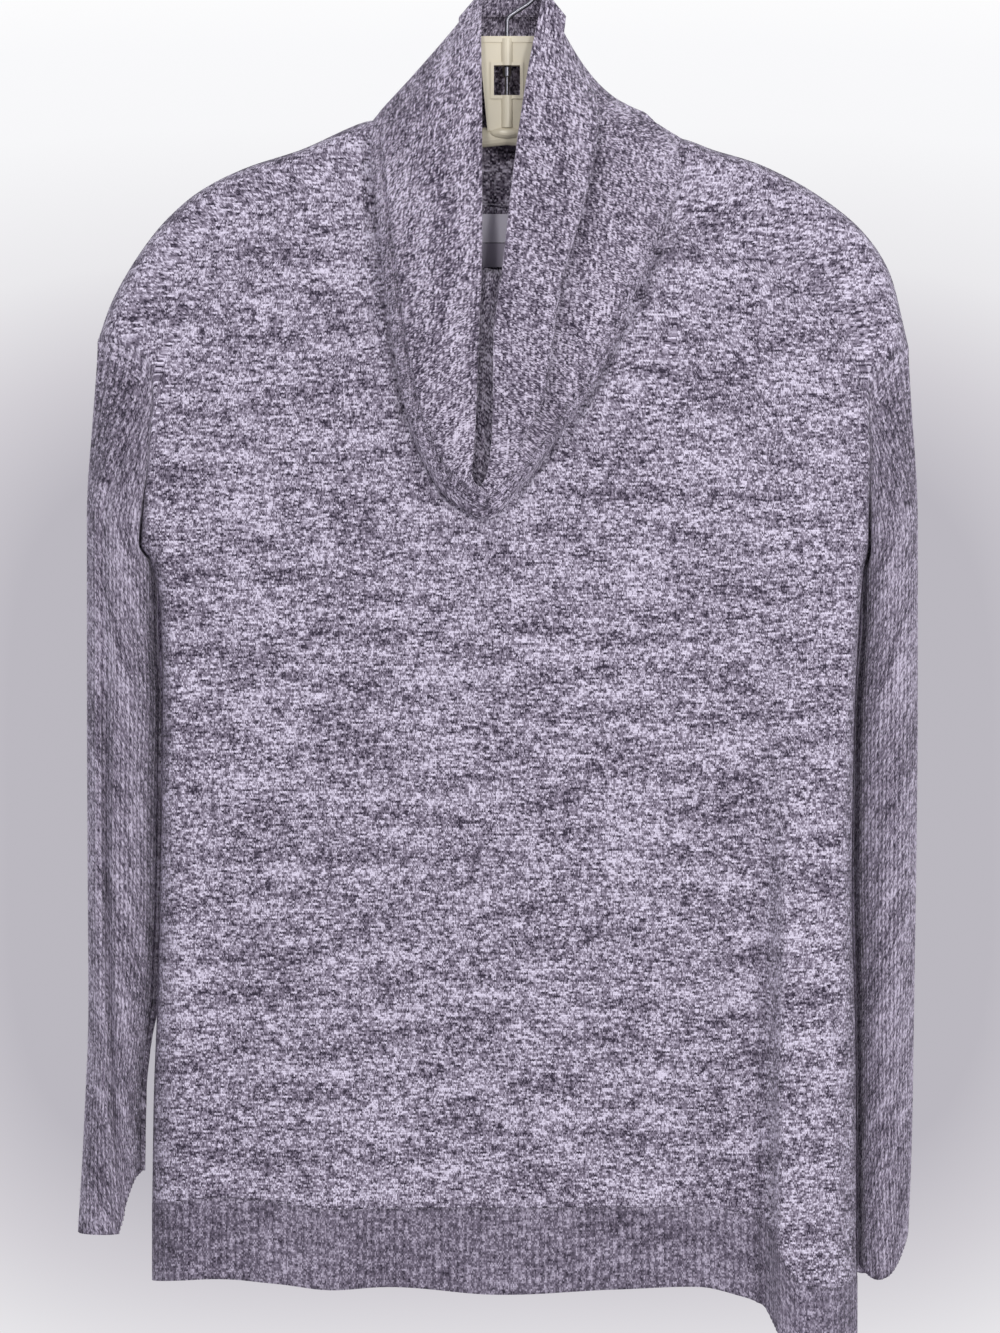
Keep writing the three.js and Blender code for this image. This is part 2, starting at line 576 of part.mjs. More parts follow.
function sleeveRing({ rings, crease }, along) {
  const at = (name) => read(rings, "along", along, name);
  const creaseX = read(crease, "along", along, "x");
  const recede = read(crease, "along", along, "recede");
  const middle = (at("outer") + at("inner")) / 2;
  const half = (at("outer") - at("inner")) / 2;
  const centre = (at("front") + at("back")) / 2;
  const deep = (at("back") - at("front")) / 2;
  const inward = Math.sign(at("inner") - at("outer"));
  const slope = recede / (inward * (at("inner") - creaseX) + CREASE_SOFT);
  const fallBack = (x, s) => {
    if (s <= 0) return 0;
    const past = Math.max(inward * (x - creaseX) + CREASE_SOFT, 0);
    return slope * (Math.hypot(past, CREASE_SOFT) - CREASE_SOFT) * ease(s * 2.5);
  };
  const dropShare = (x, c, s) => {
    const even = (1 - c) / 2;
    if (s <= 0) return even;
    const past = clamp01((x - creaseX) / (at("inner") - creaseX));
    return lerp(even, Math.sqrt(ease(past)), read(crease, "along", along, "hold") * ease(s * 2.5));
  };
  const count = 180;
  const ring = Array.from({ length: count }, (_, k) => {
    const angle = (k / count) * Math.PI * 2;
    const c = Math.cos(angle);
    const s = Math.sin(angle);
    const x = middle + half * Math.sign(c) * Math.abs(c) ** SLEEVE_SQUARE.across;
    const y = centre - deep * Math.sign(s) * Math.abs(s) ** SLEEVE_SQUARE.deep + fallBack(x, s);
    return spot(x, lerp(at("outerDrop"), at("innerDrop"), dropShare(x, c, s)), y);
  });
  return evenly(ring, SLEEVE_RIBS * RIB_POINTS, true);
}

function sleeveGeometry(edge, sleeve, flip) {
  const loop = armholeLoop(edge);
  const bodyEdge = [...edge].reverse();
  const out = Math.sign(edge[0].x);
  const first = sleeveRing(sleeve, 1);
  const grid = SLEEVE_ROWS.map((along) => {
    if (along >= 1) return sleeveRing(sleeve, along);
    const t = along === 0 ? SLEEVE_HEAD.start : along;
    const drop = lerp(ease(t), t, SLEEVE_HEAD.straight);
    const swing = ease(Math.min(1, t * SLEEVE_HEAD.swing));
    const clear = lerp(ARMHOLE_GAP, SLEEVE_CLEAR, ease(t / SLEEVE_HEAD.clearBy));
    return loop.map((p, i) => {
      const q = first[i];
      const z = lerp(p.z, q.z, drop);
      const limit = read(bodyEdge, "drop", -z, "x") * out + clear;
      const x = out * Math.max(limit, out * lerp(p.x, q.x, swing));
      return new THREE.Vector3(x, lerp(p.y, q.y, swing), z);
    });
  });
  const rise = (i, j) => (j === 0 ? 0 : (i % RIB_POINTS) * RIB_RISE);
  return wallGeometry(grid, { loop: true, rise, every: INNER_EVERY, flip });
}

// One profile of the collar, from the neck seam round the cowl's foot to the rim
function collarProfile(around) {
  const turn = ((around % 1) + 1) % 1;
  const seam = seamSpot(turn);
  const fold = ringSpot(collarFold, turn);
  const rim = ringSpot(collarRim, turn);
  const at = (name) => read(collarFace, "around", turn, name);
  const hidden = read(collarFold, "around", turn, "hidden");
  const outward = THREE.MathUtils.clamp(fold.y / 18, -1, 1);
  const intoNeck = spot(NECK_MIDDLE.x, NECK_MIDDLE.drop, 0).sub(seam).setY(0).normalize();
  const start = seam.clone().addScaledVector(intoNeck, NECK_GAP);
  const overSeam = seam.clone().add(spot(0, -SEAM_RISE.drop, -SEAM_RISE.y));
  const plain = start.clone().lerp(fold, 0.35);
  const over = plain.lerp(overSeam, hidden);
  const toRim = rim.clone().sub(fold).setY(0).normalize();
  const tuck = fold.clone().addScaledVector(toRim, FOLD_RADIUS * hidden);
  tuck.y += FOLD_RADIUS * hidden;
  const behind = over.clone().lerp(fold, 0.6).lerp(tuck, hidden);
  const front = fold.clone().addScaledVector(toRim, FOLD_RADIUS);
  front.y -= (FOLD_RADIUS + 1) * hidden;
  const face = (t) => {
    const p = front.clone().lerp(rim, t);
    const hump = Math.sin(Math.PI * t);
    p.z -= at("sag") * hump;
    p.y += outward * at("bulge") * hump;
    p.y += outward * at("pleat") * ease((t - at("pleatAt")) / PLEAT_SOFT + 0.5) * (1 - 0.4 * t);
    return p;
  };
  const hiddenPart = new THREE.CatmullRomCurve3([start, over, behind, fold, front], false, "centripetal");
  const low = [0, 0.14, 0.3, 0.5, 0.66, 0.78, 0.9].map((t) => hiddenPart.getPoint(t));
  const high = [0, 0.22, 0.4, 0.53, 0.68, 0.84, 1].map((t) => face(t));
  return [...low, ...high];
}

function collarGeometry() {
  const count = 54;
  const profiles = Array.from({ length: count }, (_, k) => collarProfile(k / count));
  const rows = profiles[0].map((_, j) => profiles.map((profile) => profile[j]));
  return wallGeometry(rows, { loop: true });
}

// A label lies on the inside of the back, moved off it by the seam gap
function labelGeometry(label) {
  const rows = [0, 0.5, 1].map((t) =>
    [0, 0.5, 1].map((s) => {
      const x = lerp(label.x1, label.x2, s);
      const drop = lerp(label.bottom, label.top, t);
      return spot(x, drop, clothDepth(BACK, x, drop) + HALF_SEAM - WALL - SEAM - LABEL_WALL - 0.3);
    }),
  );
  return wallGeometry(rows, { thick: LABEL_WALL });
}

function toSolid(geometry) {
  const bare = geometry.clone();
  bare.deleteAttribute("normal");
  bare.deleteAttribute("uv");
  const merged = mergeVertices(bare, 1e-4);
  const mesh = { numProp: 3, vertProperties: new Float32Array(merged.attributes.position.array) };
  return new wasm.Manifold(new wasm.Mesh({ ...mesh, triVerts: new Uint32Array(merged.index.array) }));
}

function toGeometry(solid) {
  const mesh = solid.getMesh();
  const geometry = new THREE.BufferGeometry();
  geometry.setAttribute("position", new THREE.BufferAttribute(mesh.vertProperties, 3));
  geometry.setIndex(Array.from(mesh.triVerts));
  return geometry;
}

// An upright bar or post at a place on the hanger
function post(radius, top, bottom, y = 0) {
  const bar = new THREE.CylinderGeometry(radius, radius, bottom - top, 16);
  return bar.rotateX(Math.PI / 2).translate(0, y, -(top + bottom) / 2);
}

// A flat block of the hanger between two drops, tapering downwards
function slab(topHalf, bottomHalf, top, bottom, thick) {
  const shape = new THREE.Shape([
    new THREE.Vector2(-bottomHalf, -bottom),
    new THREE.Vector2(bottomHalf, -bottom),
    new THREE.Vector2(topHalf, -top),
    new THREE.Vector2(-topHalf, -top),
  ]);
  const block = new THREE.ExtrudeGeometry(shape, { depth: thick, bevelEnabled: false });
  return block.rotateX(Math.PI / 2).translate(0, thick / 2, 0);
}

// Both arms as one bar, its top just under the cloth where the shoulders rest on it
function armsGeometry() {
  const resting = (x) => {
    const slope = shoulderDrop(x + 1) - shoulderDrop(x - 1);
    return { x, top: shoulderDrop(x) + (WALL + REST_GAP) * Math.hypot(1, slope / 2) };
  };
  const onCloth = (from, to) => LEFT_COLUMNS.concat(RIGHT_COLUMNS)
    .map((u) => topSpot(FRONT, u).x)
    .filter((x) => x >= from && x <= to)
    .map(resting);
  const tops = [
    ...onCloth(-212, -120),
    { x: -98, top: 134 },
    { x: -50, top: 122.5 },
    { x: 0, top: 117 },
    { x: 50, top: 123 },
    { x: 98, top: 139.2 },
    ...onCloth(130, 214),
  ];
  const last = tops.length - 1;
  const sides = 16;
  const rows = tops.map(({ x, top }, j) => {
    const end = j === 0 || j === last;
    const tall = end ? 5 : lerp(6.6, 5.6, Math.abs(x) / 212);
    const thick = end ? ARM_HALF_THICK * 0.7 : ARM_HALF_THICK;
    return Array.from({ length: sides }, (_, k) => {
      const angle = (k / sides) * Math.PI * 2;
      const y = thick * Math.cos(angle);
      return spot(x, top + tall - tall * Math.sin(angle), y);
    });
  });
  return closedBar(rows);
}

// A bar through rings of points, with flat ends
function closedBar(rows) {
  const sides = rows[0].length;
  const points = rows.flat();
  const faces = [];
  for (let j = 0; j < rows.length - 1; j += 1) {
    for (let k = 0; k < sides; k += 1) {
      const a = j * sides + k;
      const b = j * sides + ((k + 1) % sides);
      faces.push(a, b, b + sides, a, b + sides, a + sides);
    }
  }
  const far = (rows.length - 1) * sides;
  for (let k = 1; k < sides - 1; k += 1) faces.push(0, k + 1, k, far, far + k, far + k + 1);
  const geometry = new THREE.BufferGeometry();
  geometry.setAttribute("position", new THREE.Float32BufferAttribute(points.flatMap((p) => p.toArray()), 3));
  geometry.setIndex(faces);
  return geometry;
}

function hangerGeometry() {
  const { left, right, top, bottom, frame, proud } = WINDOW;
  const half = PLATE.thick / 2;
  const middle = (left + right) / 2;
  const block = (grow, thick) => {
    const wide = (right - left) / 2 + grow;
    return toSolid(slab(wide, wide, top - grow, bottom + grow, thick).translate(middle, 0, 0));
  };
  const rim = new THREE.SphereGeometry(1, 16, 8).scale(RIM.halfWidth, RIM.halfDepth, RIM.halfHeight);
  const parts = [
    toSolid(slab(PLATE.topWidth / 2, PLATE.bottomWidth / 2, PLATE.top, PLATE.bottom, PLATE.thick)),
    toSolid(slab(PLATE.topWidth / 2 + 0.6, PLATE.topWidth / 2 + 0.2, PLATE.top, 63.5, PLATE.thick + 2)),
    block(frame, PLATE.thick + 2 * proud),
    toSolid(post(BOSS.radius, BOSS.top, BOSS.bottom, -half + 1.4)),
    toSolid(post(BOSS.radius, BOSS.top, BOSS.bottom, half - 1.4)),
    toSolid(rim.translate(0, 0, -RIM.drop)),
    toSolid(armsGeometry()),
  ];
  const whole = parts.reduce((sum, part) => sum.add(part));
  const opening = block(0, 40);
  const bore = toSolid(post(HOOK.wire + BORE_GAP, 40, HOOK.pinDrop + 0.6));
  return toGeometry(whole.subtract(opening).subtract(bore));
}

// The wire hook: a stem through the plate, the round of the hook and its tip
function hookGeometry() {
  const arcs = Array.from({ length: 18 }, (_, k) => THREE.MathUtils.degToRad(lerp(-62, 193, k / 17)));
  const route = [
    spot(0, HOOK.pinDrop, 0),
    spot(0, 75, 0),
    spot(0, 60, 0),
    spot(0, 53, 0),
    spot(1.2, HOOK.stemTop, 0),
    ...arcs.map((angle) => {
      return spot(HOOK.ring * Math.cos(angle), HOOK.ring - HOOK.wire - HOOK.ring * Math.sin(angle), 0);
    }),
  ];
  const path = new THREE.CatmullRomCurve3(route, false, "centripetal");
  const section = new THREE.Shape().absarc(0, 0, HOOK.wire, 0, Math.PI * 2);
  const wire = new THREE.ExtrudeGeometry(section, { steps: 38, extrudePath: path, curveSegments: 5 });
  const ball = new THREE.SphereGeometry(HOOK.tip, 12, 8).translate(...route.at(-1).toArray());
  const head = post(HOOK.head, WINDOW.top + 0.4, WINDOW.top + 7);
  return toGeometry(toSolid(wire).add(toSolid(ball)).add(toSolid(head)));
}

const jersey = () => new THREE.MeshStandardMaterial({ color: 0x978e9e, roughness: 0.95, metalness: 0 });
const rib = () => new THREE.MeshStandardMaterial({ color: 0x7b7384, roughness: 0.95, metalness: 0 });
const satin = () => new THREE.MeshStandardMaterial({ color: 0xa59daf, roughness: 0.7, metalness: 0 });
const plastic = () => new THREE.MeshStandardMaterial({ color: 0xcfc9b4, roughness: 0.4, metalness: 0 });
const steel = () => new THREE.MeshStandardMaterial({ color: 0x8a8a90, roughness: 0.25, metalness: 1 });

function piece(name, geometry, material) {
  const mesh = new THREE.Mesh(geometry, material);
  mesh.name = name;
  return mesh;
}

const leftSleeve = { rings: LEFT_SLEEVE, crease: LEFT_CREASE };
const rightSleeve = { rings: RIGHT_SLEEVE, crease: RIGHT_CREASE };
const sweater = new THREE.Group();
sweater.add(
  piece("front_panel", panelGeometry(FRONT, FRONT_COLUMNS), jersey()),
  piece("back_panel", panelGeometry(BACK, BACK_COLUMNS), jersey()),
  piece("sleeve_left", sleeveGeometry(LEFT_EDGE, leftSleeve, true), rib()),
  piece("sleeve_right", sleeveGeometry(RIGHT_EDGE, rightSleeve, false), rib()),
  piece("collar", collarGeometry(), jersey()),
  piece("front_hem_band", bandGeometry(FRONT), rib()),
  piece("back_hem_band", bandGeometry(BACK), rib()),
  piece("neck_label", labelGeometry(NECK_LABEL), satin()),
  piece("size_label", labelGeometry(SIZE_LABEL), satin()),
  piece("hanger", hangerGeometry(), plastic()),
  piece("hook", hookGeometry(), steel()),
);

export default sweater;
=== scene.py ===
# A cowl-neck sweater on its hanger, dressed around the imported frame.
# Lengths in the dictionaries are millimetres and heights are drops below the hook's inside top.
# Lights and the room's half width are in metres.
import math

import bpy
import numpy as np

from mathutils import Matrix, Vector


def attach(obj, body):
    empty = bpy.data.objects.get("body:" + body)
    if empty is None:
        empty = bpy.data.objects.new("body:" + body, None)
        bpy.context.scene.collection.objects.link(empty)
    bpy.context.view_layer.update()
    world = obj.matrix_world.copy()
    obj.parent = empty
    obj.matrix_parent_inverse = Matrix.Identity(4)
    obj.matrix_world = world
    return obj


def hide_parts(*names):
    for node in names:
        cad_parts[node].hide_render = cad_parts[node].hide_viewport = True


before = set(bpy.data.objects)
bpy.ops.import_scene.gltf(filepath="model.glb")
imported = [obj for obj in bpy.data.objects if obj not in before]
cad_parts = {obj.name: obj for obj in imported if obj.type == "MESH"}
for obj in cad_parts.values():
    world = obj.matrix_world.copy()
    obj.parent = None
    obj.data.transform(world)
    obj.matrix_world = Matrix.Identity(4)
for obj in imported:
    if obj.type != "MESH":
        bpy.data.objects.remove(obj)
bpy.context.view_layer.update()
print("frame loaded")

metre = 0.001  # one millimetre in Blender's metres

# The photo's view: level, square on, at the middle of the sweater's height
view = {"pixel": 0.65, "across": 1000, "down": 1333, "hookX": 507, "hookY": -56,
        "distance": 6000, "clothFront": 10, "sensor": 36, "farthest": 60000}


def addCamera():
    tall = view["down"] * view["pixel"]
    data = bpy.data.cameras.new("camera")
    data.sensor_width = view["sensor"]
    data.lens = view["sensor"] * view["distance"] / tall
    data.clip_end = view["farthest"] * metre
    camera = bpy.data.objects.new("camera", data)
    bpy.context.scene.collection.objects.link(camera)
    x = (view["across"] / 2 - view["hookX"]) * view["pixel"]
    drop = (view["down"] / 2 - view["hookY"]) * view["pixel"]
    camera.location = (x * metre, -(view["distance"] + view["clothFront"]) * metre, -drop * metre)
    camera.rotation_euler = (math.pi / 2, 0, 0)
    bpy.context.scene.camera = camera


addCamera()
bpy.context.scene.view_settings.view_transform = "Standard"
print("camera set")


# Tables and how they are read

def read(table, key, at, name):  # one column of a table, on a smooth curve without overshoot
    xs = np.array(table[key], float)
    ys = np.array(table[name], float)
    at = np.asarray(at, float)
    i = np.clip(np.searchsorted(xs, at) - 1, 0, len(xs) - 2)
    slope = np.diff(ys) / np.diff(xs)
    p, q = slope[:-1], slope[1:]
    both = p * q > 0
    mean = np.where(both, 2 * p * q / np.where(both, p + q, 1), 0)
    lean = np.concatenate([slope[:1], mean, slope[-1:]])
    span = xs[i + 1] - xs[i]
    t = np.clip((at - xs[i]) / span, 0, 1)
    return ((2 * t**3 - 3 * t**2 + 1) * ys[i] + (t**3 - 2 * t**2 + t) * span * lean[i]
            + (3 * t**2 - 2 * t**3) * ys[i + 1] + (t**3 - t**2) * span * lean[i + 1])


def ring(table, extra=3):  # makes a table that goes round a ring readable past both ends
    out = {}
    for name, column in table.items():
        turn = 1 if name == "around" else 0
        before = [value - turn for value in column[-extra:]]
        after = [value + turn for value in column[:extra]]
        out[name] = before + list(column) + after
    return out


def ease(t):
    t = np.clip(t, 0, 1)
    return t * t * (3 - 2 * t)


def quarterRound(t):
    return np.sqrt(1 - (1 - np.clip(t, 0, 1)) ** 2)


def lerp(a, b, t):
    return a + (b - a) * t


def spots(x, drop, y):
    return np.stack(np.broadcast_arrays(x, y, -np.asarray(drop, float)), axis=-1).astype(float)


def unit(v):
    return v / np.maximum(np.linalg.norm(v, axis=-1, keepdims=True), 1e-9)


# The cut of the body
shoulder = {
    "u": [0, .035, .075, .115, .16, .21, .26, .316, .762, .8, .845, .89, .925, .955, .98, 1],
    "x": [-266.5, -258, -242, -222, -199, -170, -135, -86, 113, 135, 160, 186, 210, 232, 249, 261.5],
    "drop": [258, 234, 205, 179, 159.5, 145, 133.5, 114, 126, 133.5, 141, 153, 168, 187, 213, 262],
}
leftEdge = {
    "v": [0, .12, .24, .41, .58, .69, .74, .765, .81, .87, .92, .945, .965, .985, 1],
    "x": [-231, -230, -227.5, -225.5, -224.3, -226, -232, -238.5, -236.5, -232, -230,
          -233, -241.5, -255, -266.5],
    "drop": [819, 751, 684, 589, 494, 431, 402, 391, 366, 328, 290, 273, 265, 259.5, 258],
    "depth": [0, 0, 0, 0, 0, 0, 0, 0, 12, 18.5, 17, 16, 14.5, 10.5, 0],
}
rightEdge = {
    "v": [0, .12, .24, .41, .58, .69, .74, .765, .81, .87, .92, .945, .965, .985, 1],
    "x": [228, 228, 227.5, 225, 226.5, 230, 233, 236, 236, 236, 235, 236, 243, 253, 261.5],
    "drop": [866, 790, 717, 616, 512, 442, 408, 394, 370, 338, 303, 289, 278, 268, 262],
    "depth": [0, 0, 0, 0, 0, 0, 0, 0, 12, 18.5, 17, 16, 14, 10, 0],
}
hems = {
    "front": {
        "x": [-231, -190, -150, -112, -78, -5, 64, 123, 152, 166, 173, 180, 190, 212, 228],
        "top": [819, 814, 817, 822, 821, 821, 820, 820, 824, 829, 840, 857, 869, 872, 866],
        "bottom": [869, 867, 870, 874, 872, 877, 874, 872, 878, 884, 896, 912, 924, 926, 920],
    },
    "back": {
        "x": [-231, -160, -60, 60, 122, 162, 194, 228],
        "top": [819, 813, 815, 816, 815, 822, 846, 866],
        "bottom": [868, 865, 867, 869, 867, 876, 902, 930],
    },
}
body = {
    "leftNeck": .316, "rightNeck": .762, "reach": .35, "pull": 1.3, "shoulderRound": 9, "sideRound": 22,
    "fullness": 13.5, "fullBy": 110, "hemFlare": 3, "flareTop": 600, "flareLong": 270,
    "frontGrid": (210, 190), "backGrid": (120, 130), "crowdAcross": .35, "crowdUp": .3, "thick": 1.7,
}
neckSeam = ring({
    "around": [0, .06, .12, .14, .16, .18, .2, .26, .33, .41,
               .5, .59, .67, .74, .8, .82, .84, .86, .88, .94],
    "x": [12, -32, -70, -81, -86, -85.8, -84, -74, -57, -32,
          -3, 32, 66, 94, 110, 112.4, 113, 108, 97, 58],
    "drop": [170, 161, 134, 121, 114, 121, 135, 168, 196, 221,
             231, 222, 201, 175, 147, 133, 126, 133, 145, 163],
    "y": [14, 13, 10.5, 8, 0, -7.6, -10.5, -13.4, -15.6, -17,
          -17.4, -17, -15.6, -13.4, -10.5, -8, 0, 8, 10.5, 13],
})
flute = {
    "drop": [300, 400, 520, 640, 760, 900], "x": [172, 174, 174, 175, 174, 173],
    "forward": [0, 3, 8, 14, 17, 19], "soft": [60, 44, 26, 10, 7, 6],
}

# Folds: from (x1, drop1) to (x2, drop2), how wide, and how far they stand out
folds = {
    "front": [
        (-145, 144, -138, 176, 7, -2.2), (-117, 138, -108, 184, 7, -3), (-108, 184, -84, 250, 7, -3),
        (118, 180, 95, 204, 5, -2.4),
        (-90, 128, -88, 176, 7, -4.5), (-88, 176, -81, 226, 7, -4), (-81, 226, -66, 300, 8, -3.4),
        (-66, 300, -40, 352, 8, -3), (103, 186, 84, 232, 9, -4), (84, 232, 42, 312, 9, -4),
        (42, 312, 6, 356, 8, -3), (-18, 235, -18, 318, 40, -14),
        (-178, 640, -174, 860, 26, -3), (-118, 620, -120, 860, 34, 3), (-40, 700, -50, 860, 30, -2),
        (20, 680, 18, 860, 40, 3), (112, 640, 108, 860, 30, -3), (167, 600, 166, 850, 8, -4.5),
        (123, 150, 106, 196, 7, -2.2), (150, 160, 116, 222, 12, 1.6), (-160, 172, -112, 232, 10, 1.4),
        (-206, 236, -150, 300, 16, -1.2), (196, 214, 150, 286, 18, -1.3), (-218, 470, -170, 520, 18, -1.2),
        (214, 452, 168, 500, 16, 1.1), (-74, 760, -84, 850, 16, 1.4), (66, 742, 62, 852, 20, -1.6),
        (-205, 700, -208, 842, 14, 1.6), (206, 500, 203, 760, 14, -1.6), (142, 560, 150, 846, 18, 1.5),
        (-14, 420, -22, 520, 26, -.9), (66, 392, 52, 470, 22, -.8),
    ],
    "back": [
        (-150, 380, -160, 860, 34, -4), (-60, 520, -66, 880, 40, 4), (50, 470, 58, 890, 36, -4),
        (150, 420, 152, 900, 36, 4), (-120, 150, -96, 236, 14, -2), (128, 156, 104, 238, 14, -2),
        (-206, 240, -160, 300, 16, -1.4), (204, 238, 158, 300, 16, 1.3), (0, 214, -4, 300, 30, 1.5),
        (-196, 620, -202, 850, 16, 1.8), (196, 600, 200, 850, 16, -1.8), (4, 720, 0, 860, 22, -1.6),
        (-104, 640, -110, 860, 18, 1.4), (100, 660, 104, 862, 18, 1.5),
    ],
}


foldEnds = {"before": .15, "grow": .45, "after": 1.35, "fade": .35}  # parts of a fold's length


def foldShape(side, x, drop):
    total = 0
    for x1, drop1, x2, drop2, wide, forward in folds[side]:
        t = (drop - drop1) / (drop2 - drop1)
        middle = lerp(x1, x2, np.clip(t, 0, 1))
        across = np.exp(-(((x - middle) / (wide / 2)) ** 2))
        starts = ease((t + foldEnds["before"]) / foldEnds["grow"])
        total = total + forward * across * starts * ease((foldEnds["after"] - t) / foldEnds["fade"])
    return total


def clothDepth(side, x, drop):  # how far the cloth stands from the plane between front and back
    below = np.maximum(0, drop - read(shoulder, "x", x, "drop"))
    away = body["shoulderRound"] + body["fullness"] * (1 - np.exp(-below / body["fullBy"]))
    away = away + body["hemFlare"] * ease((drop - body["flareTop"]) / body["flareLong"])
    if side == "front":
        step = ease((x - read(flute, "drop", drop, "x")) / read(flute, "drop", drop, "soft") + .5)
        away = away + read(flute, "drop", drop, "forward") * step
    return away + foldShape(side, x, drop)


def neckTurn(side, u):
    t = (u - body["leftNeck"]) / (body["rightNeck"] - body["leftNeck"])
    return lerp(.16, .84, t) if side == "front" else lerp(.16, -.16, t)


def topSpot(side, u):
    turn = neckTurn(side, u)
    plain = (u <= body["leftNeck"]) | (u >= body["rightNeck"])
    at = lambda name: read(neckSeam, "around", turn, name)
    x = np.where(plain, read(shoulder, "u", u, "x"), at("x"))
    drop = np.where(plain, read(shoulder, "u", u, "drop"), at("drop"))
    return {"x": x, "drop": drop, "depth": np.where(plain, 0, np.abs(at("y")))}


def bottomSpot(side, u):
    x = lerp(leftEdge["x"][0], rightEdge["x"][0], u)
    return {"x": x, "drop": read(hems[side], "x", x, "top"), "depth": 0 * x}


def edgeSpot(edge, v):
    return {name: read(edge, "v", v, name) for name in ("x", "drop", "depth")}


def panelSpots(side, u, v):  # u from the left edge to the right, v from the hem seam to the top
    u, v = np.broadcast_arrays(np.asarray(u, float), np.asarray(v, float))
    bottom, top = bottomSpot(side, u), topSpot(side, u)
    left, right = edgeSpot(leftEdge, v), edgeSpot(rightEdge, v)
    pullLeft = np.clip(1 - u / body["reach"], 0, 1) ** body["pull"]
    pullRight = np.clip(1 - (1 - u) / body["reach"], 0, 1) ** body["pull"]
    ends = {u0: (bottomSpot(side, np.array(u0)), topSpot(side, np.array(u0))) for u0 in (0., 1.)}

    def place(name):
        leftOff = left[name] - lerp(ends[0.][0][name], ends[0.][1][name], v)
        rightOff = right[name] - lerp(ends[1.][0][name], ends[1.][1][name], v)
        return lerp(bottom[name], top[name], v) + pullLeft * leftOff + pullRight * rightOff

    x, drop = place("x"), place("drop")
    full = clothDepth(side, x, drop)
    fromTop = np.hypot(x - top["x"], drop - top["drop"])
    fromLeft = np.hypot(x - left["x"], drop - left["drop"])
    fromRight = np.hypot(x - right["x"], drop - right["drop"])
    edgeDepth = np.where(fromLeft < fromRight, left["depth"], right["depth"])
    overTop = lerp(top["depth"], full, quarterRound(fromTop / body["shoulderRound"]))
    fromSide = np.minimum(fromLeft, fromRight)
    depth = lerp(edgeDepth, overTop, quarterRound(fromSide / np.maximum(full, body["sideRound"])))
    return spots(x, drop, (depth + .1) * (-1 if side == "front" else 1))


# Turning grids of points into cloth

def spread(line, count, loop=False):  # points evenly along a line of points
    path = np.vstack([line, line[:1]]) if loop else line
    reach = np.concatenate([[0], np.cumsum(np.linalg.norm(np.diff(path, axis=0), axis=1))])
    goal = np.linspace(0, reach[-1], count + 1)[:-1] if loop else np.linspace(0, reach[-1], count)
    return np.stack([np.interp(goal, reach, path[:, k]) for k in range(3)], axis=1)


def smoothPath(points, steps):  # a smooth curve through control points, each a row of places
    padded = np.concatenate([2 * points[:1] - points[1:2], points, 2 * points[-1:] - points[-2:-1]])
    rows = []
    for k in range(len(points) - 1):
        p0, p1, p2, p3 = padded[k:k + 4]
        for s in range(steps):
            t = s / steps
            rows.append(.5 * (2 * p1 + (p2 - p0) * t + (2 * p0 - 5 * p1 + 4 * p2 - p3) * t**2
                              + (3 * p1 - p0 - 3 * p2 + p3) * t**3))
    rows.append(points[-1])
    return np.array(rows)


def gridNormals(grid, loop):
    wide = np.concatenate([grid[:, -1:], grid, grid[:, :1]], axis=1) if loop else grid
    across = np.gradient(wide, axis=1)
    across = across[:, 1:-1] if loop else across
    return unit(np.cross(across, np.gradient(grid, axis=0)))


def alongRows(grid, across=(0, 1, 2)):  # distance along each row from its first point
    steps = np.linalg.norm(np.diff(grid[..., across], axis=1), axis=2)
    return np.concatenate([np.zeros((len(grid), 1)), np.cumsum(steps, axis=1)], axis=1)


def upColumns(grid, across=(0, 1, 2)):
    return alongRows(grid.swapaxes(0, 1), across).T


def clothUv(u, v):  # metres along the courses and up the wales
    return np.stack(np.broadcast_arrays(u, v), axis=-1) * metre


def closeRing(grid):
    return np.concatenate([grid, grid[:, :1]], axis=1)


def gridMesh(name, grid, uv, loop=False, flip=False):
    rows, columns = grid.shape[:2]
    j, i = np.meshgrid(np.arange(rows - 1), np.arange(columns if loop else columns - 1), indexing="ij")
    k = (i + 1) % columns
    corners = np.stack([j * columns + i, j * columns + k, (j + 1) * columns + k, (j + 1) * columns + i], -1)
    wide = uv.shape[1]
    uvAt = np.stack([j * wide + i, j * wide + i + 1, (j + 1) * wide + i + 1, (j + 1) * wide + i], -1)
    if flip:
        corners, uvAt = corners[..., ::-1], uvAt[..., ::-1]
    mesh = bpy.data.meshes.new(name)
    mesh.from_pydata((grid.reshape(-1, 3) * metre).tolist(), [], corners.reshape(-1, 4).tolist())
    layer = mesh.uv_layers.new(name="knit")
    layer.data.foreach_set("uv", uv.reshape(-1, 2)[uvAt.reshape(-1)].astype(np.float32).ravel())
    mesh.shade_smooth()
    made = bpy.data.objects.new(name, mesh)
    bpy.context.scene.collection.objects.link(made)
    return made


def thicken(piece, thick):
    shell = piece.modifiers.new("thickness", "SOLIDIFY")
    shell.thickness = thick * metre
    shell.offset = -1
    shell.use_rim = True
    return piece


# Shader maths: a number socket that works in ordinary sums

class Number:
    def __init__(self, shader, socket):
        self.shader = shader
        self.socket = socket

    def __add__(self, other):
        return self.shader.maths("ADD", self, other)

    def __sub__(self, other):
        return self.shader.maths("SUBTRACT", self, other)

    def __rsub__(self, other):
        return self.shader.maths("SUBTRACT", other, self)

    def __mul__(self, other):
        return self.shader.maths("MULTIPLY", self, other)

    def __truediv__(self, other):
        return self.shader.maths("DIVIDE", self, other)

    def __pow__(self, other):
        return self.shader.maths("POWER", self, other)

    __radd__ = __add__
    __rmul__ = __mul__


